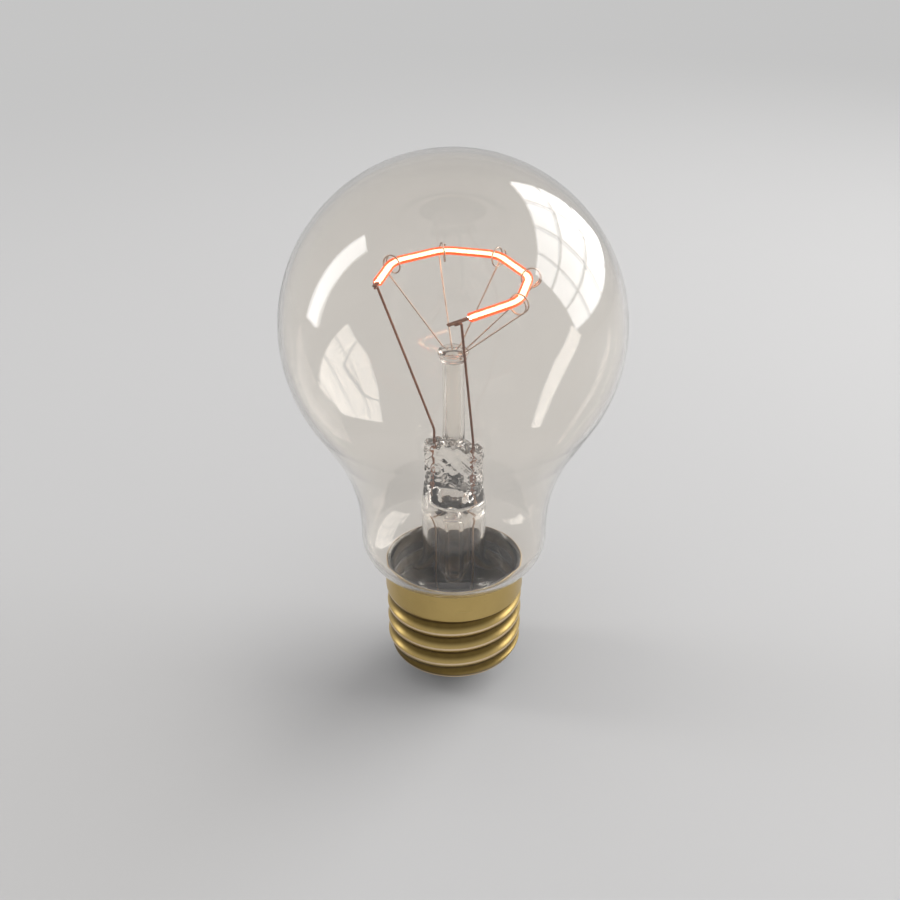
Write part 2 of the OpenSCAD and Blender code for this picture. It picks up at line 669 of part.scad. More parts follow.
// Wire up from the board and over the cup's edge, to where the thread's root bulges in on the -X side
module shell_wire() {
    x = -(board_r - hookup_d / 2 - cap_gap);
    end_x = -(thread_root_bore_r - lay_gap);
    color([0.15, 0.15, 0.6])
    sweep(round_path([[x, 0, board_top_z], [x, 0, shell_wire_z], [end_x, 0, shell_wire_z]],
        shell_wire_bend, corner_steps), wire_section(hookup_d), [0, 1, 0]);
}

glass_envelope();
stem_flare();
stem_press();
exhaust_tube();
arbor_tube();
arbor_button();
support(1);  // support_left
support(2);  // support_back
support(3);  // support_right_back
support(4);  // support_right
support(5);  // support_right_front
inner_lead_left();
inner_lead_right();
seal_wire(-1);  // seal_wire_left
seal_wire(1);  // seal_wire_right
outer_lead(-1);  // outer_lead_left
outer_lead(1);  // outer_lead_right
filament_coat();
filament_strip();
filament_chips();
filament_tab(corners[0], filament_start_way, start_tab_l);  // filament_tab_start
filament_tab(corners[LAST], filament_end_way, end_tab_l);  // filament_tab_end
cap_shell();
cap_cement();
cap_insulator();
centre_contact();
contact_solder();
insulating_cup();
driver_board();
bridge_rectifier();
driver_chip();
smoothing_capacitor();
fuse_resistor();
contact_wire();
shell_wire();
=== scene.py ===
"""Clear pear-shaped lamp with a curved LED filament and a brass screw cap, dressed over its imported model.

Shapes are worked out in millimetres from the same sizes as the part's source, and become metres in the
meshes. Named angles are in degrees.
"""

import bmesh
import bpy
import numpy as np
from mathutils import Matrix, Vector


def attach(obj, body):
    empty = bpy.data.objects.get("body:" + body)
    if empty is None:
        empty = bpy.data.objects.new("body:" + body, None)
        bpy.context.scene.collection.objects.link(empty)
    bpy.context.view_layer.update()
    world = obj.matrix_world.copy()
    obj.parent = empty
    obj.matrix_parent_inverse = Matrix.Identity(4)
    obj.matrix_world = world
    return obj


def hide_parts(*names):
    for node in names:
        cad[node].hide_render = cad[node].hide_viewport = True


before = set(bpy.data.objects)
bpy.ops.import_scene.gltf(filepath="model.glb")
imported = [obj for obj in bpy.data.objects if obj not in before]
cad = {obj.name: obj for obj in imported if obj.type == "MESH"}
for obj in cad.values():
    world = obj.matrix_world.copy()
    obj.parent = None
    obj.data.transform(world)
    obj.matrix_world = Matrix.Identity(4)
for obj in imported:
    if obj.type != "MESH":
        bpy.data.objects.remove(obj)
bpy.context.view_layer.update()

MM = 0.001
UP = np.array([0.0, 0.0, 1.0])

# Envelope: globe, straight taper, hollow, neck, foot, and the tube in the cap
GLOBE_R, NECK_R, NECK_L, TAPER, TAPER_BLEND_R = 30.0, 17.5, 2.2, 30.0, 38.0
FOOT_R, FOOT_BLEND_R, GLASS_WALL, RIM_GAP, CEMENT_GAP, TUBE_END_H = 6.6, 0.8, 0.8, 0.25, 0.35, 0.3

# Cap: collar, thread and turned-in edge, then cement, contact, solder and insulator
RIM_Z, COLLAR_H, CREST_R, THREAD_DEPTH, COLLAR_STEP = 26.0, 5.7, 13.15, 0.8, 0.15
PITCH, FIRST_CREST_Z, SHELL_WALL, SHELL_STEP_T = 3.629, 17.2, 0.3, 0.4
SHELL_FOOT_Z, SHELL_LIP_W, RUNOUT_H, CEMENT_BED_T, CEMENT_H = 6.0, 1.8, 1.2, 0.2, 2.2
CONTACT_R, CONTACT_HOLE_R, CONTACT_T, SOLDER_R, SOLDER_TOP_Z = 4.8, 1.3, 1.0, 1.28, 1.4
INSULATOR_BORE_R, INSULATOR_RING_W, DISC_T, DISC_GAP = 1.6, 0.5, 1.0, 0.15

# Stem: flare tube, press, exhaust tube with its tip, gap and bore, then arbor and button
FLARE_R, FLARE_WALL, FLARE_TOP_Z = 6.0, 0.8, 39.0
PRESS_W, PRESS_T, PRESS_TURN, PRESS_Z, PRESS_TOP_Z = 11.3, 4.4, -19.0, 42.0, 51.0
EXHAUST_R, EXHAUST_BORE_R, TIP_R, TIP_Z, TIP_TAPER_H = 3.0, 1.1, 1.9, 21.9, 2.5
ARCH_Z, ARCH_R, GAP_TAPER_H, BORE_TOP_Z = 39.9, 0.4, 3.4, 37.1
ARBOR_R, ARBOR_BORE_R, BUTTON_R, BUTTON_Z, BUTTON_H, DISH = 2.0, 1.25, 2.8, 68.0, 2.2, 0.4

# Filament: its route round the ring, coat, lit core and end tabs
RING_R, RING_Z, END_DROP, CORNER_CUT = 13.6, 83.2, 0.8, 2.2
CORNER_ANGLES = [186, 142, 97, 55, 4, -41, -80]
CORNER_OUT = [-0.9, -0.2, 0.5, 0.3, -0.6, 0.6, 0.8]
COAT_W, COAT_H, CORE_W, CORE_H, CORE_LIFT, CORE_INSET = 1.6, 1.3, 0.78, 0.62, 0.06, 0.12
TAB_T, TAB_W, START_TAB_L, END_TAB_L = 0.3, 0.8, 1.8, 4.0

# Supports from the button, and inner leads from the press
FOOT_DEPTH, FOOT_OUT, SUPPORT_D, LOOP_D, LOOP_PITCH, LOOP_TURNS = 1.1, 1.2, 0.28, 3.6, 0.85, 1.25
SUPPORT_HANG = [45, 45, 45, 20, 70]
LEAD_D, LEAD_OFFSET, LEAD_CUT, LEAD_LIE = 0.45, 3.75, 0.5, 1.3

# Gaps that keep neighbours apart, and the cut at sharp corners of turned pieces
LAY_GAP, FUSE_GAP, CHAMFER = 0.02, 0.02, 0.1

# Sizes that follow from them
COLLAR_R = CREST_R + COLLAR_STEP
COLLAR_BORE_R = COLLAR_R - SHELL_WALL
COLLAR_FOOT_Z = RIM_Z - COLLAR_H
ROOT_R = CREST_R - THREAD_DEPTH
ROOT_BORE_R = ROOT_R - SHELL_WALL
LIP_BORE_R = ROOT_R - SHELL_LIP_W
LIP_TOP_Z = SHELL_FOOT_Z + SHELL_STEP_T
STEP_TOP_Z = COLLAR_FOOT_Z + SHELL_STEP_T
TUBE_R = COLLAR_BORE_R - CEMENT_GAP
TUBE_END_Z = STEP_TOP_Z + CEMENT_BED_T
FOOT_CENTRE_R = NECK_R - FOOT_R
FOOT_Z = RIM_Z + np.sqrt((FOOT_R + RIM_GAP) ** 2 - (COLLAR_R - FOOT_CENTRE_R) ** 2)
FOOT_TURN = np.degrees(np.arccos((TUBE_R + FOOT_BLEND_R - FOOT_CENTRE_R) / (FOOT_R + FOOT_BLEND_R)))
FOOT_BLEND_Z = FOOT_Z - (FOOT_R + FOOT_BLEND_R) * np.sin(np.radians(FOOT_TURN))
TAPER_RUN = (GLOBE_R * np.cos(np.radians(TAPER)) - NECK_R) / np.sin(np.radians(TAPER))
TAPER_BLEND_Z = FOOT_Z + NECK_L
GLOBE_Z = (
    TAPER_BLEND_Z
    + TAPER_BLEND_R * np.tan(np.radians(TAPER / 2))
    + TAPER_RUN * np.cos(np.radians(TAPER))
    + GLOBE_R * np.sin(np.radians(TAPER))
)
FLARE_BORE_R = FLARE_R - FLARE_WALL
TIP_TAPER_Z = TIP_Z + TIP_TAPER_H
LAST = len(CORNER_ANGLES) - 1


# Curves, as rows of points


def unit(v):
    """A vector, or each row of an array, divided by its length."""
    return v / np.linalg.norm(v, axis=-1, keepdims=True)


def side_of(way):
    """Level direction at right angles to a way."""
    return unit(np.cross(way, UP))


def smooth_step(x):
    """3x^2 - 2x^3, with x held between 0 and 1."""
    x = np.clip(x, 0, 1)
    return x * x * (3 - 2 * x)


def arc(centre, radius, start, end, steps):
    """Points centre + radius (cos a, sin a), with the angle a running evenly from start to end."""
    a = np.radians(np.linspace(start, end, steps + 1))[:, None]
    return np.array(centre, float) + radius * np.hstack([np.cos(a), np.sin(a)])


def line(a, b, steps):
    """Points evenly spaced on the straight line from a to b, both included."""
    return np.linspace(np.array(a, float), np.array(b, float), steps + 1)


def bent(path, cut, steps):
    """A path whose inner corners become parabolas (1-t)^2 p + 2t(1-t) b + t^2 q, from cut before to cut
    after each corner b."""
    path, t = np.array(path, float), np.linspace(0, 1, steps + 1)[:, None]
    rows = [path[:1]]
    for a, b, c in zip(path, path[1:], path[2:], strict=False):
        p, q = b + cut * unit(a - b), b + cut * unit(c - b)
        rows.append((1 - t) ** 2 * p + 2 * t * (1 - t) * b + t**2 * q)
    return np.vstack([*rows, path[-1:]])


def ripple(*waves):
    """A sum of waves, each size * sin(kx x + ky y + kz z + phase), as a function of points, for the
    unevenness of worked glass. A wave is (size, kx, ky, kz, phase)."""
    k = np.array([w[1:4] for w in waves])
    size, phase = np.array([w[0] for w in waves]), np.array([w[4] for w in waves])
    return lambda points: np.sin(points @ k.T + phase) @ size


def round_section(width, height, sides):
    """An ellipse, as (x, y) points."""
    return arc((0, 0), 1, 0, 360 - 360 / sides, sides - 1) * (width / 2, height / 2)


def box_section(width, height, sides, power):
    """A rounded box: the superellipse |2x/width|^power + |2y/height|^power = 1, as (x, y) points."""
    c = round_section(2, 2, sides)
    return np.sign(c) * np.abs(c) ** (2 / power) * (width / 2, height / 2)


# Surfaces, as grids of points: rows by columns by 3. The columns always close round on themselves.


def turned(profile, columns):
    """A profile of (r, z) points carried round the Z axis."""
    a = np.linspace(0, 2 * np.pi, columns, endpoint=False)
    r, z = np.array(profile, float).T
    return np.stack([np.outer(r, np.cos(a)), np.outer(r, np.sin(a)), np.outer(z, np.ones(columns))], 2)


def drawn(path, section, up, soft):
    """A section carried along a path, square to it, with its y towards up. Each end draws in to a point
    over the length soft, by the scale sqrt(1 - (1-t)^2) as t goes from 0 to 1."""
    rows = 6
    step = unit(np.diff(path, axis=0))
    way = unit(np.vstack([step[:1], step]) + np.vstack([step, step[-1:]]))
    t = np.linspace(0, 1, rows)
    ease, inset = np.sqrt(1 - (1 - t) ** 2), (t * soft)[:, None]
    spine = np.vstack([path[0] + inset * step[0], path[1:-1], path[-1] - inset[::-1] * step[-1]])
    scale = np.hstack([ease, np.ones(len(path) - 2), ease[::-1]])[:, None, None]
    way = np.vstack([np.repeat(way[:1], rows, 0), way[1:-1], np.repeat(way[-1:], rows, 0)])
    y = unit(up - (way @ up)[:, None] * way)
    x = np.cross(y, way)
    return spine[:, None] + scale * (section[:, :1] * x[:, None] + section[:, 1:] * y[:, None])


def faces_of(grid, sense, loop):
    """A face for each cell of four points, turned so that sense times the enclosed volume is positive.
    The volume goes as the sum of p0 . (p1 x p2 + p2 x p3) over the cells."""
    rows, columns = grid.shape[:2]
    a = np.arange(rows * columns).reshape(rows, columns)
    a = np.vstack([a, a[:1]]) if loop else a
    b = np.roll(a, -1, 1)
    cells = np.stack([a[:-1], b[:-1], b[1:], a[1:]], 2).reshape(-1, 4)
    p = grid.reshape(-1, 3)[cells]
    volume = np.einsum("ij,ij->", p[:, 0], np.cross(p[:, 1], p[:, 2]) + np.cross(p[:, 2], p[:, 3]))
    return cells if volume * sense > 0 else cells[:, ::-1]


def mark_inner(mesh):
    """The attribute inner: 1 where the surface faces the Z axis, and 0 elsewhere."""
    spots, normals = (np.empty(3 * len(mesh.vertices)) for _ in range(2))
    mesh.vertices.foreach_get("co", spots)
    mesh.vertices.foreach_get("normal", normals)
    outward = (spots.reshape(-1, 3) * normals.reshape(-1, 3))[:, :2].sum(1)
    inner = mesh.attributes.new("inner", "FLOAT", "POINT")
    inner.data.foreach_set("value", (outward < 0).astype(float))


def skin(name, grid, slot, finish, *stands_for, loop=False, crease=40, cavity=None):
    """One closed mesh from a grid of points in mm, faced outwards, and a cavity's grid, faced into the
    cavity. A row that is a single point closes an end, and loop joins the last row to the first."""
    points, faces = grid.reshape(-1, 3), faces_of(grid, 1, loop)
    if cavity is not None:
        faces = np.vstack([faces, faces_of(cavity, -1, loop) + len(points)])
        points = np.vstack([points, cavity.reshape(-1, 3)])
    mesh = bpy.data.meshes.new(name)
    mesh.from_pydata(points * MM, [], faces.tolist())
    work = bmesh.new()
    work.from_mesh(mesh)
    bmesh.ops.remove_doubles(work, verts=work.verts, dist=1e-6)
    work.to_mesh(mesh)
    work.free()
    mesh.polygons.foreach_set("use_smooth", np.full(len(mesh.polygons), True))
    mark_inner(mesh)
    mesh.set_sharp_from_angle(angle=np.radians(crease))
    mesh.materials.append(finish)
    made = bpy.data.objects.new(name, mesh)
    bpy.context.scene.collection.objects.link(made)
    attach(made, "root")
    if stands_for:
        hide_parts(*stands_for)


# Nodes, and short ways to place them


def feed(tree, node, inputs):
    """Gives each named input of a node its value, or a link where it is another node's output."""
    for key, value in inputs.items():
        if isinstance(value, bpy.types.NodeSocket):
            tree.links.new(value, node.inputs[key])
        else:
            node.inputs[key].default_value = value


def put(tree, kind, inputs=None, **settings):
    """Adds a node with its settings, and feeds its inputs."""
    node = tree.nodes.new("ShaderNode" + kind)
    for key, value in settings.items():
        setattr(node, key, value)
    feed(tree, node, inputs or {})
    return node


def maths(tree, operation, a, b, clamp=False):
    """The result of one Math node."""
    return put(tree, "Math", {0: a, 1: b}, operation=operation, use_clamp=clamp).outputs[0]


def ramp(tree, value, start, end, low=0.0, high=1.0):
    """A value carried from start..end to low..high, and held there beyond."""
    inputs = {"Value": value, "From Min": start, "From Max": end, "To Min": low, "To Max": high}
    return put(tree, "MapRange", inputs).outputs[0]


def mixed(tree, mask, a, b):
    """Colour a where the mask is 0, and b where it is 1."""
    return put(tree, "Mix", {"Factor": mask, "A": a, "B": b}, data_type="RGBA").outputs["Result"]


def chosen(tree, mask, a, b):
    """Shader a where the mask is 0, and b where it is 1."""
    return put(tree, "MixShader", {0: mask, 1: a, 2: b}).outputs[0]


def off_axis(tree, place, inner, outer):
    """Mask that goes from 0 to 1 as the distance from the Z axis goes from inner to outer, in metres."""
    flat = put(tree, "VectorMath", {0: place, 1: (1.0, 1.0, 0.0)}, operation="MULTIPLY").outputs[0]
    radius = put(tree, "VectorMath", {0: flat}, operation="LENGTH").outputs["Value"]
    reach = {"Value": radius, "From Min": inner, "From Max": outer}
    return put(tree, "MapRange", reach, interpolation_type="SMOOTHSTEP").outputs[0]


def rgba(colour):
    """A colour with its alpha."""
    return (*colour, 1.0)


# Node groups: each puts out a mask, a colour or a height that changes over the surface


def new_group(name, inputs, outputs):
    """A shader node group with named sockets. inputs and outputs are {name: kind}."""
    tree = bpy.data.node_groups.new(name, "ShaderNodeTree")
    for way, sockets in (("INPUT", inputs), ("OUTPUT", outputs)):
        for label, kind in sockets.items():
            tree.interface.new_socket(label, in_out=way, socket_type="NodeSocket" + kind)
    return tree, tree.nodes.new("NodeGroupInput").outputs, tree.nodes.new("NodeGroupOutput").inputs


def patches_group():
    """Cloudy patches: noise stretched to a mask from 0 to 1, and two colours mixed by it."""
    inputs = {"Vector": "Vector", "Scale": "Float", "Contrast": "Float", "Colour": "Color", "Patch": "Color"}
    tree, given, out = new_group("patches", inputs, {"Colour": "Color", "Mask": "Float"})
    cloud = {"Vector": given["Vector"], "Scale": given["Scale"], "Detail": 4.0, "Roughness": 0.6}
    noise = put(tree, "TexNoise", cloud).outputs["Fac"]
    low = maths(tree, "SUBTRACT", 0.5, given["Contrast"])
    high = maths(tree, "ADD", 0.5, given["Contrast"])
    mask = ramp(tree, noise, low, high)
    tree.links.new(mixed(tree, mask, given["Colour"], given["Patch"]), out["Colour"])
    tree.links.new(mask, out["Mask"])
    return tree


def turning_group():
    """Marks of a lathe or a forming roll: noise that is drawn out round the Z axis, by reading it at
    (along * angle * radius, radius, z)."""
    inputs = {"Vector": "Vector", "Scale": "Float", "Along": "Float"}
    tree, given, out = new_group("turning_marks", inputs, {"Mark": "Float"})
    part = put(tree, "SeparateXYZ", {0: given["Vector"]}).outputs
    flat = put(tree, "CombineXYZ", {0: part[0], 1: part[1], 2: 0.0}).outputs[0]
    radius = put(tree, "VectorMath", {0: flat}, operation="LENGTH").outputs["Value"]
    around = maths(tree, "MULTIPLY", maths(tree, "ARCTAN2", part[1], part[0]), radius)
    along = maths(tree, "MULTIPLY", around, given["Along"])
    place = put(tree, "CombineXYZ", {0: along, 1: radius, 2: part[2]}).outputs[0]
    fine = {"Vector": place, "Scale": given["Scale"], "Detail": 3.0, "Roughness": 0.55}
    tree.links.new(put(tree, "TexNoise", fine).outputs["Fac"], out["Mark"])
    return tree


def grain_group():
    """Height of a surface's fine grain, or of the waves in glass: noise of a scale and a detail."""
    inputs = {"Vector": "Vector", "Scale": "Float", "Detail": "Float"}
    tree, given, out = new_group("grain", inputs, {"Height": "Float"})
    noise = put(tree, "TexNoise", {label: given[label] for label in inputs})
    tree.links.new(noise.outputs["Fac"], out["Height"])
    return tree


def radius_group():
    """Mask that goes from 0 to 1 as the distance from the Z axis goes from Inner to Outer."""
    inputs = {"Vector": "Vector", "Inner": "Float", "Outer": "Float"}
    tree, given, out = new_group("radius_mask", inputs, {"Mask": "Float"})
    tree.links.new(off_axis(tree, given["Vector"], given["Inner"], given["Outer"]), out["Mask"])
    return tree


PATCHES, TURNING, GRAIN, RADIUS = patches_group(), turning_group(), grain_group(), radius_group()


def group_node(tree, group, inputs):
    """Places a node group in a material's tree with its own values, and gives its outputs."""
    node = tree.nodes.new("ShaderNodeGroup")
    node.node_tree = group
    feed(tree, node, inputs)
    return node.outputs


def patches(tree, place, scale, colour, patch, contrast=0.2):
    """The colour and the mask of cloudy patches."""
    inputs = {"Vector": place, "Scale": scale, "Contrast": contrast}
    return group_node(tree, PATCHES, {**inputs, "Colour": rgba(colour), "Patch": rgba(patch)})


def turning(tree, place, scale):
    """The marks of turning round the Z axis."""
    return group_node(tree, TURNING, {"Vector": place, "Scale": scale, "Along": 0.03})["Mark"]


def grain(tree, place, scale, detail):
    """The height of a grain or of waves."""
    return group_node(tree, GRAIN, {"Vector": place, "Scale": scale, "Detail": detail})["Height"]


def beyond(tree, place, inner, outer):
    """Mask from 0 at one distance from the Z axis to 1 at another, in mm."""
    return group_node(tree, RADIUS, {"Vector": place, "Inner": inner * MM, "Outer": outer * MM})["Mask"]


# Finishes


def found(tree, kind):
    """The node of a type that is already in a tree."""
    return next(n for n in tree.nodes if n.type == kind)


def new_material(name):
    """An empty node material: its tree, its Principled shader, its output and the Object coordinates."""
    material = bpy.data.materials.new(name)
    material.use_nodes = True
    tree = material.node_tree
    shader, output = found(tree, "BSDF_PRINCIPLED"), found(tree, "OUTPUT_MATERIAL")
    return material, tree, shader, output, put(tree, "TexCoord").outputs["Object"]


def relief(tree, shader, height, distance):
    """Bumps on the surface, of a height in metres where the pattern is 1."""
    bump = put(tree, "Bump", {"Height": height, "Distance": distance, "Strength": 1.0})
    tree.links.new(bump.outputs[0], shader.inputs["Normal"])


def opaque(name, colour, patch, rough, scale, fine, metallic=0.0, specular=0.5, coat=0.0):
    """A finish with cloudy patches of a second colour, of a scale, a roughness that follows them from low
    to high, and a fine grain, given as its scale and its height in metres."""
    material, tree, shader, _, place = new_material(name)
    cloud = patches(tree, place, scale, colour, patch)
    relief(tree, shader, grain(tree, place, fine[0], 3.0), fine[1])
    surface = {"Base Color": cloud["Colour"], "Roughness": ramp(tree, cloud["Mask"], 0.0, 1.0, *rough)}
    surface |= {"Metallic": metallic, "Specular IOR Level": specular, "Coat Weight": coat}
    feed(tree, shader, surface)
    return material


def glass(name, tint, shade, scale, wave, stretch):
    """Clear glass with a faint cast that varies, and the long soft waves of drawn or blown glass, given as
    their scale and height in metres. Lamps reach through it, a little dimmed by its shade."""
    material, tree, shader, output, place = new_material(name)
    cloud = patches(tree, place, scale, tint, [c * 0.985 for c in tint], 0.3)
    drawn_out = put(tree, "Mapping", {"Vector": place, "Scale": stretch}).outputs[0]
    relief(tree, shader, grain(tree, drawn_out, wave[0], 1.0), wave[1])
    surface = {"Base Color": cloud["Colour"], "Roughness": 0.0, "IOR": 1.5, "Transmission Weight": 1.0}
    feed(tree, shader, surface)
    in_shadow = put(tree, "LightPath").outputs["Is Shadow Ray"]
    clear = put(tree, "BsdfTransparent", {"Color": rgba(shade)}).outputs[0]
    tree.links.new(chosen(tree, in_shadow, shader.outputs[0], clear), output.inputs["Surface"])
    return material


def brass_sheet():
    """Satin brass: tan on the collar, a painted highlight as a thin pale line along the crests and round the
    bottom edge, tarnish and painted shade in the thread's roots, painted dark shade on the faces inside,
    and faint forming marks round it."""
    material, tree, shader, _, place = new_material("satin_brass")
    crest = beyond(tree, place, ROOT_R + 0.12, CREST_R - 0.1)
    # Painted highlight: a thin pale line along the very top of the crests, and a band round the bottom edge.
    crest_highlight = beyond(tree, place, CREST_R - 0.045, CREST_R)
    collar = beyond(tree, place, CREST_R + 0.03, CREST_R + 0.12)
    height = put(tree, "SeparateXYZ", {0: place}).outputs[2]
    bottom = ramp(tree, height, (SHELL_FOOT_Z + 0.6) * MM, (SHELL_FOOT_Z + 0.2) * MM)
    painted_highlight = maths(tree, "MAXIMUM", maths(tree, "SUBTRACT", crest_highlight, collar, clamp=True), bottom)
    inner = put(tree, "Attribute", attribute_name="inner").outputs["Fac"]
    bright = patches(tree, place, 160.0, (0.6, 0.44, 0.17), (0.53, 0.38, 0.14), 0.3)
    # Tarnish plus painted shade: near-black brown in the thread's roots.
    root_tarnish_and_shade = patches(tree, place, 700.0, (0.2, 0.135, 0.04), (0.14, 0.095, 0.03), 0.3)
    # Painted shade: dark brown on the faces that look into the shell, where the sheet is the same brass.
    inside = patches(tree, place, 500.0, (0.12, 0.08, 0.035), (0.07, 0.045, 0.022))
    colour = mixed(tree, crest, root_tarnish_and_shade["Colour"], bright["Colour"])
    # Pale colour of the painted highlight on the crests' tops and the bottom edge.
    colour = mixed(tree, painted_highlight, colour, rgba((0.86, 0.68, 0.46)))
    colour = mixed(tree, inner, colour, inside["Colour"])
    marks = turning(tree, place, 5200.0)
    polish = ramp(tree, crest, 0.0, 1.0, 0.4, 0.3)
    rough = maths(tree, "ADD", polish, ramp(tree, marks, 0.3, 0.7, -0.03, 0.03))
    rough = maths(tree, "ADD", rough, maths(tree, "MULTIPLY", inner, 0.25))
    feed(tree, shader, {"Base Color": colour, "Roughness": rough, "Metallic": 1.0})
    relief(tree, shader, marks, 1.5e-6)
    return material


def turned_metal(name, colour, patch, rough):
    """Bare metal with turning marks round the axis and patches of tarnish."""
    material, tree, shader, _, place = new_material(name)
    cloud = patches(tree, place, 500.0, colour, patch)
    roughness = ramp(tree, cloud["Mask"], 0.0, 1.0, *rough)
    feed(tree, shader, {"Base Color": cloud["Colour"], "Roughness": roughness, "Metallic": 1.0})
    relief(tree, shader, turning(tree, place, 4200.0), 6e-6)
    return material


def glowing(name, colour, light, strength, alpha=1.0):
    """Phosphor silicone that is lit from inside: a soft body colour, and light that changes a little
    along it."""
    material, tree, shader, _, place = new_material(name)
    body = patches(tree, place, 900.0, colour, [c * 0.8 for c in colour], 0.25)
    shine = patches(tree, place, 540.0, light, [c * 0.86 for c in light], 0.3)
    surface = {"Base Color": body["Colour"], "Roughness": ramp(tree, body["Mask"], 0.0, 1.0, 0.4, 0.55)}
    surface |= {"Emission Color": shine["Colour"], "Emission Strength": strength, "Alpha": alpha}
    feed(tree, shader, surface)
    return material


# Glass: tint, shade, scale of the cast, waves, and how they are stretched
CLEAR = glass("clear_glass", (0.955, 0.93, 0.893), (0.93, 0.92, 0.9), 60.0, (45.0, 3e-5), (1, 1, 0.6))
STEM = glass("stem_glass", (0.97, 0.955, 0.935), (0.93, 0.92, 0.9), 260.0, (420.0, 2e-5), (1, 1, 0.12))
PINCHED = glass("pinched_glass", (0.965, 0.945, 0.92), (0.9, 0.88, 0.86), 300.0, (900.0, 6e-5), (1, 1, 1))

# Opaque finishes: colour, patch, roughness from low to high, scale of the patches, and grain
SUPPORT = opaque(
    "support_wire", (0.62, 0.5, 0.43), (0.5, 0.37, 0.3), (0.25, 0.4), 700.0, (9000.0, 4e-6), metallic=1.0
)
LEAD = opaque(
    "lead_wire", (0.34, 0.16, 0.105), (0.22, 0.1, 0.065), (0.35, 0.55), 600.0, (8000.0, 5e-6), metallic=0.9
)
SEAL = opaque(
    "seal_wire", (0.42, 0.2, 0.12), (0.28, 0.13, 0.09), (0.3, 0.5), 900.0, (8000.0, 4e-6), metallic=1.0
)
COPPER = opaque(
    "copper_lead", (0.6, 0.42, 0.31), (0.42, 0.27, 0.18), (0.25, 0.45), 500.0, (8000.0, 4e-6), metallic=1.0
)
TAB = opaque(
    "filament_tab", (0.34, 0.18, 0.12), (0.2, 0.1, 0.065), (0.35, 0.6), 1200.0, (6000.0, 1e-5), metallic=0.9
)
CEMENT = opaque(
    "basing_cement",
    (0.05, 0.036, 0.026),
    (0.028, 0.02, 0.015),
    (0.6, 0.9),
    700.0,
    (2500.0, 8e-5),
    specular=0.3,
)
BLACK_GLASS = opaque(
    "black_insulator",
    (0.022, 0.021, 0.022),
    (0.035, 0.032, 0.03),
    (0.08, 0.22),
    250.0,
    (900.0, 1e-5),
    coat=0.3,
)
BLACK_PLASTIC = opaque(
    "black_plastic", (0.016, 0.015, 0.014), (0.024, 0.021, 0.019), (0.45, 0.65), 400.0, (5000.0, 1e-5)
)
BOARD = opaque("circuit_board", (0.075, 0.055, 0.04), (0.055, 0.04, 0.03), (0.35, 0.5), 300.0, (2200.0, 1e-5))
CHIP_PLASTIC = opaque(
    "chip_plastic", (0.035, 0.034, 0.036), (0.055, 0.053, 0.055), (0.5, 0.7), 900.0, (9000.0, 1e-5)
)
CAN = opaque(
    "capacitor_sleeve", (0.05, 0.06, 0.1), (0.035, 0.04, 0.07), (0.25, 0.4), 500.0, (3000.0, 6e-6), coat=0.2
)
LACQUER = opaque(
    "resistor_lacquer", (0.2, 0.32, 0.38), (0.16, 0.26, 0.32), (0.35, 0.5), 800.0, (4000.0, 1e-5)
)
RED = opaque("red_insulation", (0.45, 0.04, 0.03), (0.34, 0.03, 0.025), (0.35, 0.5), 700.0, (4000.0, 6e-6))
BLUE = opaque("blue_insulation", (0.05, 0.07, 0.34), (0.04, 0.05, 0.25), (0.35, 0.5), 700.0, (4000.0, 6e-6))
SOLDER = opaque(
    "dull_solder", (0.6, 0.6, 0.61), (0.45, 0.45, 0.47), (0.25, 0.5), 900.0, (3000.0, 1e-5), metallic=1.0
)

# Metals with turning marks, and the lit filament's coat and core
BRASS = brass_sheet()
CONTACT = turned_metal("tinned_contact", (0.62, 0.58, 0.48), (0.48, 0.42, 0.3), (0.25, 0.42))
COAT = glowing("phosphor_coat", (0.42, 0.06, 0.01), (1.0, 0.1, 0.01), 0.8, alpha=0.88)
HOT = glowing("lit_core", (0.9, 0.8, 0.6), (1.0, 0.8, 0.5), 24.0)


# Envelope


def envelope_side(depth):
    """The envelope's (r, z) side at a depth inside the glass: crown and globe, straight taper, hollow,
    neck, foot, and the tube in the cap."""
    return np.vstack(
        [
            arc((0, GLOBE_Z), GLOBE_R - depth, 90, -TAPER, 96),
            arc((NECK_R + TAPER_BLEND_R, TAPER_BLEND_Z), TAPER_BLEND_R + depth, 180 - TAPER, 180, 20),
            arc((FOOT_CENTRE_R, FOOT_Z), FOOT_R - depth, 0, -FOOT_TURN, 24),
            arc((TUBE_R + FOOT_BLEND_R, FOOT_BLEND_Z), FOOT_BLEND_R + depth, 180 - FOOT_TURN, 180, 8),
            line((TUBE_R - depth, FOOT_BLEND_Z - 1), (TUBE_R - depth, TUBE_END_Z + TUBE_END_H), 4),
        ]
    )


def blown(grid, depth):
    """Moves a turned grid inwards by depth times a slow ripple, as blown glass is never quite true."""
    waves = ripple(
        (0.5, 0.21, 0.13, 0.17, 0.4), (0.3, -0.17, 0.27, -0.23, 1.9), (0.2, 0.33, -0.29, 0.31, 4.0)
    )
    radial = grid * (1, 1, 0)
    away = radial / np.maximum(np.linalg.norm(radial, axis=2, keepdims=True), 1e-9)
    return grid - away * (depth * (1 + waves(grid)))[..., None] / 2


def envelope():
    """The blown envelope as one closed skin: down the outside, round the fire-polished end of the neck
    tube, and up the inside."""
    columns, outer_sag, inner_sag = 160, 0.02, 0.05
    middle = np.array([TUBE_R - GLASS_WALL / 2, TUBE_END_Z + TUBE_END_H])
    end = middle + arc((0, 0), 1, 0, -180, 8)[1:-1] * (GLASS_WALL / 2, TUBE_END_H)
    outer, inner = turned(envelope_side(0), columns), turned(envelope_side(GLASS_WALL)[::-1], columns)
    grid = np.vstack([blown(outer, outer_sag), turned(end, columns), blown(inner, inner_sag)])
    skin("envelope", grid, "clear_glass", CLEAR, "glass_envelope")


# Stem


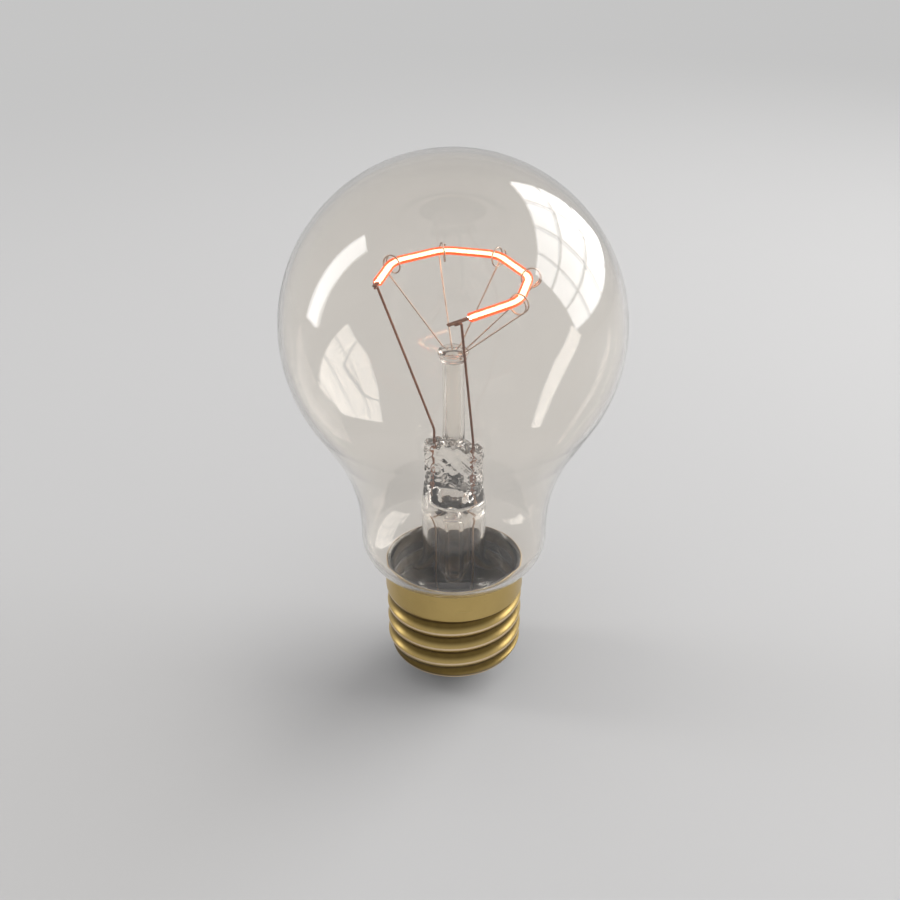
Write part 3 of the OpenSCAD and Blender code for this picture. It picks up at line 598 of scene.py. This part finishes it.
def press_outlines(columns):
    """Outlines of the press, in rows from near the middle of its top out to its edge, and down its flat
    sides over a shoulder to the round flare tube. An outline at a height is a rounded bar, the
    superellipse of power 2.7, blended into a circle by a smooth step."""
    edge_r, shoulder_h, top_rows, top_reach, power = 0.5, 1.5, 14, 1.7, 2.7
    angle = np.linspace(0, 2 * np.pi, columns, endpoint=False)
    ring = np.stack([np.cos(angle), np.sin(angle)], 1)
    bar = np.sign(ring) * np.abs(ring) ** (2 / power) * (PRESS_W / 2, PRESS_T / 2)
    rise = np.linspace(FLARE_TOP_Z, PRESS_TOP_Z - edge_r, 76)
    blend = smooth_step((rise - FLARE_TOP_Z) / (PRESS_Z - FLARE_TOP_Z + shoulder_h))[:, None, None]
    wall = (1 - blend) * ring * FLARE_R + blend * bar
    edge = arc((-edge_r, PRESS_TOP_Z - edge_r), edge_r, 0, 90, 6)[1:]
    inset = np.hstack([edge[:, 0], -edge_r - np.linspace(0.15, 1.0, top_rows) * top_reach])
    top = bar * np.maximum(1 + inset[:, None, None] / (PRESS_W / 2, PRESS_T / 2), 0)
    height = np.hstack([rise, edge[:, 1], np.full(top_rows, PRESS_TOP_Z)])[:, None, None]
    return np.concatenate([np.vstack([wall, top]), np.repeat(height, columns, 1)], 2)[::-1]


def near_top(z):
    """Mask that rises by a smooth step to 1 over the last stretch of the press."""
    stretch = 1.2
    return smooth_step((z - PRESS_TOP_Z + stretch) / stretch)


def pinch(grid):
    """What the pinching jaws leave on the flat sides, moved in the grid itself: rings, as a cosine of the
    distance from their middle under a bell curve, beads, as a product of two sines on the right half, a
    waist across the middle, and lumps all over."""
    ring_x, ring_z, ring_gap, ring_reach, ring_h, bead_h = -2.7, 45.6, 0.95, 1.9, 0.16, 0.12
    waist_z, waist_w, waist_l, waist_h = 47.4, 3.2, 2.4, 0.28
    x, y, z = grid[..., 0], grid[..., 1], grid[..., 2]
    flat, under_top = smooth_step((z - PRESS_Z + 1) / 2.5), 1 - near_top(z)
    front = np.sign(y) * flat
    away = np.hypot(x - ring_x, (z - ring_z) * 0.9)
    y += front * (ring_h * np.cos(2 * np.pi * away / ring_gap) * np.exp(-((away / ring_reach) ** 2)))
    y += front * bead_h * np.sin(5.3 * x + 1.2) * np.sin(5.9 * z) * smooth_step((x - 0.8) / 1.5) * under_top
    y -= front * waist_h * np.exp(-((x / waist_w) ** 4)) * np.exp(-(((z - waist_z) / waist_l) ** 4))
    lumps = ripple((0.06, 2.1, 1.3, 1.7, 0.3), (0.045, -3.1, 2.2, 2.9, 1.0), (0.035, 4.3, 0.8, -3.7, 2.0))
    bumps = lumps(grid) * flat
    x += bumps * np.sign(x)
    y += bumps * np.sign(y)


def draw_up(grid):
    """Glass that stands up from the press's top, moved in the grid itself: a bell curve round each wire,
    a low plateau round the arbor, and soft waves between them."""
    wire_r, plateau_r, plateau_h, wave_h, sink = 0.75, 2.5, 0.55, 0.22, 0.15
    x, y, z = grid[..., 0], grid[..., 1], grid[..., 2]
    above = near_top(z)
    for side, wire_h in ((-1, 0.75), (1, 0.55)):
        z += above * wire_h * np.exp(-(((x - side * LEAD_OFFSET) ** 2 + y**2) / wire_r**2))
    plateau = plateau_h * np.exp(-((np.hypot(x, y) / plateau_r) ** 6))
    z += above * (plateau + wave_h * np.sin(2.3 * x + 0.7) * np.cos(1.9 * y) - sink)


def press_grid(columns):
    """The press with its marks, turned about the Z axis, and closed by a point in the middle of its top."""
    grid = press_outlines(columns)
    pinch(grid)
    draw_up(grid)
    x, y, z = grid[..., 0], grid[..., 1], grid[..., 2]
    turn = np.radians(PRESS_TURN)
    spun = np.stack([x * np.cos(turn) - y * np.sin(turn), x * np.sin(turn) + y * np.cos(turn), z], 2)
    return np.vstack([np.repeat([[[0, 0, z[0].mean()]]], columns, 1), spun])


def flare_side():
    """The flare tube's (r, z) side: down its outside, out in a quarter circle to a rounded hem, and back
    up its inside."""
    sweep_r = TUBE_R - GLASS_WALL - FUSE_GAP - FLARE_R
    centre = (FLARE_R + sweep_r, TUBE_END_Z + FLARE_WALL + sweep_r)
    hem = arc((centre[0], TUBE_END_Z + FLARE_WALL / 2), FLARE_WALL / 2, 90, -90, 6)[1:-1]
    return np.vstack(
        [
            line((FLARE_R, FLARE_TOP_Z - 0.2), (FLARE_R, centre[1] + 0.5), 12),
            arc(centre, sweep_r, 180, 270, 24),
            hem - (FLARE_WALL / 2, 0),
            arc(centre, sweep_r + FLARE_WALL, 270, 180, 24),
            line((FLARE_BORE_R, centre[1] + 0.5), (FLARE_BORE_R, ARCH_Z - GAP_TAPER_H), 10),
        ]
    )


def arch_side():
    """The (r, z) side of the gap between the flare and exhaust tubes, which narrows upwards by a smooth
    step to a small arch, where the pinched glass ran together."""
    gap_r, middle_r = (FLARE_BORE_R - EXHAUST_R) / 2, (FLARE_BORE_R + EXHAUST_R) / 2
    t = line((0, 0), (1, 0), 10)[1:, :1]
    outer = np.hstack([middle_r + gap_r - (gap_r - ARCH_R) * smooth_step(t), ARCH_Z - GAP_TAPER_H * (1 - t)])
    inner = (outer * (-1, 1) + (2 * middle_r, 0))[::-1]
    return np.vstack([outer, arc((middle_r, ARCH_Z), ARCH_R, 0, 180, 10)[1:-1], inner])


def exhaust_side():
    """The exhaust tube's (r, z) side: straight, then drawn in by a smooth step to its sealed round tip."""
    straight = line((EXHAUST_R, ARCH_Z - GAP_TAPER_H - 0.5), (EXHAUST_R, TIP_TAPER_Z + 0.3), 10)
    taper = [[EXHAUST_R - 0.03, TIP_TAPER_Z]]
    for t in (0.25, 0.5, 0.75):
        taper.append([EXHAUST_R + (TIP_R - EXHAUST_R) * smooth_step(t), TIP_TAPER_Z - TIP_TAPER_H * t])
    return np.vstack([straight, taper, arc((0, TIP_Z), TIP_R, 0, -90, 12)])


def bore_side():
    """The (r, z) side of the exhaust tube's closed bore, with a rounded, nearly flat top."""
    top_r, drop = 0.5, 0.05
    return np.vstack(
        [
            line((0, BORE_TOP_Z), (EXHAUST_BORE_R - top_r - drop, BORE_TOP_Z - 0.03), 4),
            arc((EXHAUST_BORE_R - top_r, BORE_TOP_Z - top_r - drop), top_r, 80, 0, 8),
            line((EXHAUST_BORE_R, BORE_TOP_Z - 1), (EXHAUST_BORE_R, TIP_TAPER_Z), 12),
            arc((0, TIP_Z), EXHAUST_BORE_R * TIP_R / EXHAUST_R, 0, -90, 8),
        ]
    )


def stem():
    """The stem's fused glass as one skin: over the press, down and up the flare tube, over the arch and
    down the exhaust tube, whose bore is a closed cavity."""
    columns = 160
    below = turned(np.vstack([flare_side(), arch_side(), exhaust_side()]), columns)
    grid, bore = np.vstack([press_grid(columns), below]), turned(bore_side(), columns)
    nodes = ("stem_flare", "stem_press", "exhaust_tube")
    skin("stem_glass_body", grid, "stem_glass", STEM, *nodes, crease=70, cavity=bore)


def arbor():
    """Hollow glass rod from the press to the button. Its wall thickens towards its foot, outwards and
    inwards, by exponentials of the height."""
    swell, swell_h, narrow, narrow_h, slack = 0.25, 1.1, 0.2, 0.6, 0.04
    z = np.linspace(PRESS_TOP_Z + 0.25, BUTTON_Z + 0.02, 40)
    outer = ARBOR_R + swell * np.exp(-((z - z[0]) / swell_h)) - slack
    inner = ARBOR_BORE_R - narrow * np.exp(-((z - z[0]) / narrow_h))
    profile = np.vstack([np.stack([outer, z], 1), np.stack([inner, z], 1)[::-1]])
    skin("arbor_glass", turned(profile, 64), "stem_glass", STEM, "arbor_tube", loop=True)


def button():
    """Flattened bead, a turned profile with slow lumps: a bulge over the rod, a slack waist, and a wider
    rim round a dish where the supports stand."""
    bulge = [[0, 0], [0.6, 0], [1.5, 0], [1.95, 0.02], [2.25, 0.12], [2.45, 0.3], [2.52, 0.5], [2.5, 0.68]]
    waist = [[2.46, 0.82], [2.5, 0.98], [2.62, 1.16], [2.74, 1.36]]
    rim = [[BUTTON_R, 1.58], [2.79, 1.78], [2.7, 1.97], [2.52, 2.12], [2.28, 2.19], [2.0, BUTTON_H]]
    dish = [[1.75, 2.17], [1.5, 2.1], [1.1, 1.97], [0.6, 1.85], [0, BUTTON_H - DISH]]
    grid = turned(np.array(bulge + waist + rim + dish) + (0, BUTTON_Z), 96)
    lumps = ripple((0.05, 1.9, 1.1, 0.4, 0.0), (0.04, -1.3, 2.4, 0.9, 1.5))(grid)[..., None]
    grid -= np.abs(lumps) * unit(grid - (0, 0, BUTTON_Z + BUTTON_H / 2) + 1e-9)
    skin("button_glass", grid, "stem_glass", PINCHED, "arbor_button", crease=70)


# Filament, its supports and its leads


def corner(i):
    """Corner i of the filament's route: a point on the ring, at its own distance outside it."""
    a, r = np.radians(CORNER_ANGLES[i]), RING_R + CORNER_OUT[i]
    return np.array([r * np.cos(a), r * np.sin(a), RING_Z - (END_DROP if i == LAST else 0)])


CORNERS = np.array([corner(i) for i in range(LAST + 1)])
START_WAY, END_WAY = unit(CORNERS[0] - CORNERS[1]), unit(CORNERS[LAST] - CORNERS[LAST - 1])


def filament():
    """The coat: a rounded box section carried along the bent route. The lit core inside it is an ellipse
    on the same route, which stands for the light of the chips."""
    route = bent(CORNERS, CORNER_CUT, 14)
    coat = drawn(route, box_section(COAT_W, COAT_H, 40, 3.2), UP, 0.22)
    skin("coat_sleeve", coat, "phosphor_coat", COAT, "filament_coat")
    first = route[:1] + CORE_INSET * unit(route[1] - route[0])
    last = route[-1:] + CORE_INSET * unit(route[-2] - route[-1])
    section = round_section(CORE_W, CORE_H, 24) + (0, CORE_LIFT)
    core = drawn(np.vstack([first, route[1:-1], last]), section, UP, 0.3)
    skin("coat_core", core, "phosphor_coat", HOT)


def support(side, i):
    """A wire from the button, straight to its loop and then round it:
    centre + r (cos a outward + sin a up) + pitch * turn along the filament."""
    before, middle, after = CORNERS[i - 1], CORNERS[i], CORNERS[i + 1]
    bend = bent([before, middle, after], CORNER_CUT, 2)[2]
    along = unit(after - before)
    outward = side_of(along)
    outward = outward * np.sign(outward @ middle)
    r = (LOOP_D - SUPPORT_D) / 2
    coat_reach = np.hypot(COAT_W, COAT_H) / 2 * 0.5**0.25
    shift = r - SUPPORT_D / 2 - coat_reach - LAY_GAP
    hang = np.radians(SUPPORT_HANG[i - 1])
    centre = bend + shift * (np.cos(hang) * outward - np.sin(hang) * UP)
    a = np.arctan2(centre[1], centre[0])
    foot = np.array([FOOT_OUT * np.cos(a), FOOT_OUT * np.sin(a), BUTTON_Z + BUTTON_H - FOOT_DEPTH])
    reach = centre - foot
    out, rise = reach @ outward, reach[2]
    start = np.arctan2(rise, out) - np.arcsin(r / np.hypot(out, rise)) - np.pi / 2
    turn = np.linspace(0, LOOP_TURNS, 61)[:, None]
    angle = start + 2 * np.pi * turn
    ring = r * (np.cos(angle) * outward + np.sin(angle) * UP)
    loop = centre + ring + LOOP_PITCH * (turn - LOOP_TURNS / 2) * along
    path = np.vstack([foot, foot + 0.3 * (loop[0] - foot), foot + 0.7 * (loop[0] - foot), loop])
    wire = drawn(path, round_section(SUPPORT_D, SUPPORT_D, 12), along, SUPPORT_D / 2)
    skin(f"support_{side}_wire", wire, "support_wire", SUPPORT, f"support_{side}")


def lead_out(sign, z):
    """Place of a lead wire at a height in or over the press."""
    a = np.radians(PRESS_TURN)
    return np.array([sign * LEAD_OFFSET * np.cos(a), sign * LEAD_OFFSET * np.sin(a), z])


def inner_lead(side, sign, upright, tip, way, back):
    """A wire up out of the press to the height upright, bent straight to the tab, and laid flat under it.
    It ends at a distance back from the tab's tip."""
    under = tip - (TAB_T / 2 + LEAD_D / 2 + LAY_GAP) * UP
    rising = [lead_out(sign, PRESS_TOP_Z - 1), lead_out(sign, PRESS_TOP_Z + upright)]
    lying = [under - (back + LEAD_LIE) * way, under - back * way]
    path = bent(rising + lying, LEAD_CUT, 8)
    wire = drawn(path, round_section(LEAD_D, LEAD_D, 14), side_of(way), LEAD_D / 2)
    skin(f"inner_lead_{side}_wire", wire, "lead_wire", LEAD, f"inner_lead_{side}")


def tab(end, place, way, length, spot):
    """A thin rounded strip at an end of the filament. Round the weld that holds the lead, at a distance
    spot from its tip, it is wider and flatter by a bell curve."""
    weld_r, wider, flatter = 0.42, 0.12, 0.25
    path = place + np.outer(np.linspace(0, 1, 25) * length, way)
    grid = drawn(path, box_section(TAB_W, TAB_T, 20, 5), UP, 0.18)
    run = np.linspace(-0.02, 1.02, len(grid)) * length
    near = np.exp(-(((run - (length - spot)) / weld_r) ** 2))[:, None, None]
    middle = grid.mean(1, keepdims=True)
    grid = middle + (grid - middle) * (1 + near * (wider, wider, -flatter))
    skin(f"filament_tab_{end}_strip", grid, "filament_tab", TAB, f"filament_tab_{end}")


# Screw cap


def thread_r(angle, z):
    """Outside radius of the threaded wall: root + depth/2 (1 + cos of the helix's phase), fading out just
    above the bottom edge."""
    phase = (z - FIRST_CREST_Z) / PITCH - (angle + np.pi / 2) / (2 * np.pi)
    fade = np.clip((z - LIP_TOP_Z) / RUNOUT_H, 0, 1)
    return ROOT_R + THREAD_DEPTH / 2 * (1 + np.cos(2 * np.pi * phase)) * fade


def shell():
    """The cap's one brass sheet, as a closed outline at every angle: along the bottom edge, up the rolled
    thread, out to the collar, over the rim, and back down the inside."""
    columns, bottom_r, shoulder_r, rim_r = 240, 0.35, 0.25, SHELL_WALL / 2
    angle = np.linspace(0, 2 * np.pi, columns, endpoint=False)

    def rows(profile):
        r, z = np.array(profile, float).T
        return np.repeat(r[:, None], columns, 1), np.repeat(z[:, None], columns, 1)

    def threaded(low, high, count, depth):
        z = np.repeat(np.linspace(low, high, count)[:, None], columns, 1)
        return thread_r(angle, z) - depth, z

    parts = [
        rows([[LIP_BORE_R, SHELL_FOOT_Z + CHAMFER], [LIP_BORE_R + CHAMFER, SHELL_FOOT_Z]]),
        rows(arc((ROOT_R - bottom_r, SHELL_FOOT_Z + bottom_r), bottom_r, -90, 0, 7)),
        threaded(LIP_TOP_Z, COLLAR_FOOT_Z - 0.02, 150, 0),
        rows(arc((COLLAR_R - shoulder_r, COLLAR_FOOT_Z + shoulder_r), shoulder_r, -80, 0, 6)),
        rows(line((COLLAR_R, COLLAR_FOOT_Z + 0.5), (COLLAR_R, RIM_Z - 0.3), 8)),
        rows(arc((COLLAR_R - rim_r, RIM_Z - rim_r), rim_r, 0, 180, 8)),
        rows([[COLLAR_BORE_R, RIM_Z - 1], [COLLAR_BORE_R, STEP_TOP_Z + 0.2]]),
        rows([[COLLAR_BORE_R - CHAMFER, STEP_TOP_Z]]),
        tuple(v[::-1] for v in threaded(LIP_TOP_Z + 0.02, STEP_TOP_Z, 90, SHELL_WALL)),
        rows([[LIP_BORE_R + CHAMFER, LIP_TOP_Z], [LIP_BORE_R, LIP_TOP_Z - CHAMFER]]),
    ]
    r, z = (np.vstack([p[k] for p in parts]) for k in (0, 1))
    grid = np.stack([r * np.cos(angle), r * np.sin(angle), z], 2)
    skin("brass_shell", grid, "cap_brass", BRASS, "cap_shell", loop=True, crease=50)


def cement():
    """Ring of cement round the neck tube, a turned profile whose top is moved up and down by a ripple,
    where it squeezed up."""
    outer, inner, bed_r = COLLAR_BORE_R - LAY_GAP, TUBE_R + LAY_GAP, ROOT_BORE_R + LAY_GAP
    sunk, crown = 0.25, 0.12
    top = TUBE_END_Z + CEMENT_H - sunk
    profile = np.vstack(
        [
            [[bed_r, STEP_TOP_Z]],
            line((outer, STEP_TOP_Z + 0.05), (outer, top), 5),
            [[(outer + inner) / 2, top + crown]],
            line((inner, top), (inner, TUBE_END_Z), 5),
            [[inner - CHAMFER, TUBE_END_Z - LAY_GAP], [bed_r, TUBE_END_Z - LAY_GAP]],
        ]
    )
    grid = turned(profile, 180)
    rough = ripple((0.06, 1.7, 0.9, 0, 0.2), (0.05, -2.9, 3.3, 0, 1.1), (0.03, 6.1, 4.7, 0, 2.0))(grid)
    grid[..., 2] += np.minimum(rough, 0.1) * (grid[..., 2] > TUBE_END_Z + 1.2)
    skin("cement_ring", grid, "cap_cement", CEMENT, "cap_cement", loop=True)


def insulator():
    """Black glass insulator, a turned profile: a cone from the contact to the shell's turned-in edge, with
    melted, rounded corners, and a disc inside the shell."""
    neck, disc, bore = LIP_BORE_R - LAY_GAP, ROOT_BORE_R - DISC_GAP, INSULATOR_BORE_R
    ring, top, low_r, high_r = CONTACT_R + INSULATOR_RING_W, LIP_TOP_Z + DISC_T, 0.3, 0.25
    profile = np.vstack(
        [
            [[bore, CONTACT_T + 0.05], [bore + CHAMFER, CONTACT_T]],
            line((CONTACT_R - 0.3, CONTACT_T), (ring - 0.35, CONTACT_T), 2),
            arc((ring - low_r, CONTACT_T + low_r), low_r, -80, -30, 5),
            line((ring + 0.25, CONTACT_T + 0.45), (neck - 0.35, SHELL_FOOT_Z - 0.35), 16),
            arc((neck - high_r, SHELL_FOOT_Z), high_r, -35, 0, 4),
            [[neck, LIP_TOP_Z - 0.03], [neck + CHAMFER, LIP_TOP_Z], [disc - CHAMFER, LIP_TOP_Z]],
            [[disc, LIP_TOP_Z + CHAMFER], [disc, top - CHAMFER], [disc - CHAMFER, top]],
            [[bore + CHAMFER, top], [bore, top - CHAMFER]],
        ]
    )
    skin("insulator_glass", turned(profile, 144), "black_insulator", BLACK_GLASS, "cap_insulator", loop=True)


def contact():
    """Pressed contact disc, a turned profile with rounded rims and a shallow ring round its hole."""
    hole, rim_r = CONTACT_HOLE_R, 0.25
    profile = np.vstack(
        [
            [[hole, 0.22], [hole + 0.12, 0.12], [hole + 0.5, 0.1], [hole + 0.8, 0.02], [hole + 1.1, 0]],
            line((3.0, 0), (CONTACT_R - 0.3, 0), 4),
            arc((CONTACT_R - rim_r, rim_r), rim_r, -80, 0, 5),
            [[CONTACT_R, CONTACT_T - CHAMFER], [CONTACT_R - CHAMFER, CONTACT_T], [hole, CONTACT_T]],
        ]
    )
    skin("contact_disc", turned(profile, 120), "contact_metal", CONTACT, "centre_contact", loop=True)


def solder():
    """The turned blob of solder that fills the contact's hole, with a sunken face and a head inside."""
    face = [[0, 0.1], [0.5, 0.11], [0.9, 0.16], [1.15, 0.26], [SOLDER_R, 0.45]]
    head = [[SOLDER_R, 1.1], [1.1, 1.32], [0.6, SOLDER_TOP_Z], [0, SOLDER_TOP_Z]]
    skin("solder_blob", turned(face + head, 48), "solder", SOLDER, "contact_solder")


envelope()
stem()
arbor()
button()
filament()
for i, side in enumerate(("left", "back", "right_back", "right", "right_front"), 1):
    support(side, i)
START_TIP, END_TIP = CORNERS[0] + START_TAB_L * START_WAY, CORNERS[LAST] + END_TAB_L * END_WAY
inner_lead("left", -1, upright=2.4, tip=START_TIP, way=START_WAY, back=0.0)
inner_lead("right", 1, upright=1.0, tip=END_TIP, way=END_WAY, back=1.3)
tab("start", CORNERS[0], START_WAY, START_TAB_L, spot=0.75)
tab("end", CORNERS[LAST], END_WAY, END_TAB_L, spot=1.9)
shell()
cement()
insulator()
contact()
solder()

# Finishes of the CAD nodes that stay
CARRIED = {
    "seal_wire_left": SEAL,
    "seal_wire_right": SEAL,
    "outer_lead_left": COPPER,
    "outer_lead_right": COPPER,
    "filament_strip": HOT,
    "filament_chips": HOT,
    "insulating_cup": BLACK_PLASTIC,
    "driver_board": BOARD,
    "bridge_rectifier": CHIP_PLASTIC,
    "driver_chip": CHIP_PLASTIC,
    "smoothing_capacitor": CAN,
    "fuse_resistor": LACQUER,
    "contact_wire": RED,
    "shell_wire": BLUE,
}
for name, finish in CARRIED.items():
    cad[name].data.materials.clear()
    cad[name].data.materials.append(finish)


# Floor, light and camera, with places and sizes in metres

BACKDROP, ZENITH = (0.56, 0.558, 0.556), (0.44, 0.44, 0.45)
FLOOR_HALF, FLOOR_Z, FADE_START, FADE_END = 4.0, -0.02 * MM, 0.16, 0.62
WINDOW, PANE, PANE_STEP = np.array([0.92, 0.4, 0.52]), (0.335, 0.285), (0.36, 0.31)
STRIP, STRIP_SIZE, LAMPS_AIM = np.array([-0.85, 0.15, 0.4]), (0.2, 0.8), np.array([0, 0, 0.07])
WINDOW_LIGHT, STRIP_LIGHT, OVERHEAD, OVERHEAD_SIZE, OVERHEAD_POWER = 4.8, 5.0, (0, -0.2, 1.6), 1.0, 3.0
CAMERA_LENS, CAMERA_SHIFT, CAMERA_DOWN, CAMERA_ROLL = 46.08, -3.6 / 900, 30.6, -0.22
CAMERA_AWAY, CAMERA_AIM, BOUNCES = 0.211, (0, 0, 0.0498), 24


def panel(name, corners, finish):
    """A flat panel of the studio, from its four corners."""
    mesh = bpy.data.meshes.new(name)
    mesh.from_pydata(corners, [], [(0, 1, 2, 3)])
    mesh.materials.append(finish)
    made = bpy.data.objects.new(name, mesh)
    bpy.context.scene.collection.objects.link(made)


def floor():
    """A wide pale floor with a faint, even grain, a hair below the contact. It fades into the backdrop's
    colour far from the lamp, and is open seen from below, so that the cap's underside shows."""
    colour, patch = (0.6, 0.595, 0.59), (0.588, 0.583, 0.578)
    finish = opaque("pale_floor", colour, patch, (0.75, 0.85), 3.0, (1500.0, 2e-6), specular=0.2)
    tree = finish.node_tree
    far = off_axis(tree, put(tree, "TexCoord").outputs["Object"], FADE_START, FADE_END)
    pale = put(tree, "Emission", {"Color": rgba(BACKDROP)}).outputs[0]
    faded = chosen(tree, far, found(tree, "BSDF_PRINCIPLED").outputs[0], pale)
    below = put(tree, "NewGeometry").outputs["Backfacing"]
    seen = chosen(tree, below, faded, put(tree, "BsdfTransparent").outputs[0])
    tree.links.new(seen, found(tree, "OUTPUT_MATERIAL").inputs["Surface"])
    signs = ((-1, -1), (1, -1), (1, 1), (-1, 1))
    panel("floor", [(x * FLOOR_HALF, y * FLOOR_HALF, FLOOR_Z) for x, y in signs], finish)


def lamp_light(name, strength):
    """Light of a lamp's front, of a strength where 1 is white. It lights the object and shows in
    reflections, but not to the camera or straight through the clear glass."""
    material, tree, shader, output, _ = new_material(name)
    tree.nodes.remove(shader)
    path = put(tree, "LightPath").outputs
    straight = maths(tree, "SUBTRACT", path["Is Transmission Ray"], path["Glossy Depth"], clamp=True)
    hidden = maths(tree, "MAXIMUM", straight, path["Is Camera Ray"])
    hidden = maths(tree, "MAXIMUM", hidden, put(tree, "NewGeometry").outputs["Backfacing"])
    glow = put(tree, "Emission", {"Strength": strength}).outputs[0]
    seen = chosen(tree, hidden, glow, put(tree, "BsdfTransparent").outputs[0])
    tree.links.new(seen, output.inputs["Surface"])
    return material


def axes_of(place):
    """The directions across and up that are square to the way from a place to the aim of the lamps."""
    facing = unit(LAMPS_AIM - place)
    across = side_of(facing)
    return across, np.cross(across, facing)


def softbox(name, place, size, axes, light):
    """A rectangular lamp on the axes (across, upward), whose front is towards the aim of the lamps."""
    across, upward = axes
    signs = ((-1, -1), (-1, 1), (1, 1), (1, -1))
    panel(name, [place + x * size[0] / 2 * across + y * size[1] / 2 * upward for x, y in signs], light)


def lamps():
    """A wide window box in panes on the right, a tall strip on the left, and a soft fill from above that
    no glass mirrors."""
    window, strip = lamp_light("window_light", WINDOW_LIGHT), lamp_light("strip_light", STRIP_LIGHT)
    axes = axes_of(WINDOW)
    for column in range(4):
        for row in range(3):
            aside, rise = (column - 1.5) * PANE_STEP[0] * axes[0], (row - 1) * PANE_STEP[1] * axes[1]
            softbox(f"window_{column}_{row}", WINDOW + aside + rise, PANE, axes, window)
    softbox("strip_left", STRIP, STRIP_SIZE, axes_of(STRIP), strip)
    data = bpy.data.lights.new("overhead", "AREA")
    data.size, data.energy = OVERHEAD_SIZE, OVERHEAD_POWER
    above = bpy.data.objects.new("overhead", data)
    above.location = OVERHEAD
    above.visible_glossy = above.visible_transmission = False
    bpy.context.scene.collection.objects.link(above)


def sky():
    """The world: the backdrop's colour at and below the horizon, and a little darker overhead."""
    world = bpy.data.worlds.new("studio")
    world.use_nodes = True
    bpy.context.scene.world = world
    tree = world.node_tree
    height = put(tree, "SeparateXYZ", {0: put(tree, "TexCoord").outputs["Generated"]}).outputs[2]
    shade = mixed(tree, ramp(tree, height, 0.0, 0.7), rgba(BACKDROP), rgba(ZENITH))
    tree.links.new(shade, found(tree, "BACKGROUND").inputs["Color"])


def camera():
    """Looks down at the lamp at the photograph's angle, from 211 mm."""
    data = bpy.data.cameras.new("camera")
    data.lens, data.shift_x, data.clip_start = CAMERA_LENS, CAMERA_SHIFT, 0.01
    made = bpy.data.objects.new("camera", data)
    bpy.context.scene.collection.objects.link(made)
    down, target = np.radians(CAMERA_DOWN), Vector(CAMERA_AIM)
    eye = target + CAMERA_AWAY * Vector((0, -np.cos(down), np.sin(down)))
    turn = (target - eye).to_track_quat("-Z", "Y").to_matrix().to_4x4()
    roll = Matrix.Rotation(np.radians(CAMERA_ROLL), 4, "Z")
    made.matrix_world = Matrix.Translation(eye) @ turn @ roll
    bpy.context.scene.camera = made


floor()
lamps()
sky()
camera()
scene = bpy.context.scene
scene.view_settings.view_transform = "Standard"
scene.cycles.max_bounces = BOUNCES
scene.cycles.transmission_bounces = BOUNCES
scene.cycles.transparent_max_bounces = BOUNCES
scene.cycles.caustics_reflective = False
scene.cycles.caustics_refractive = False
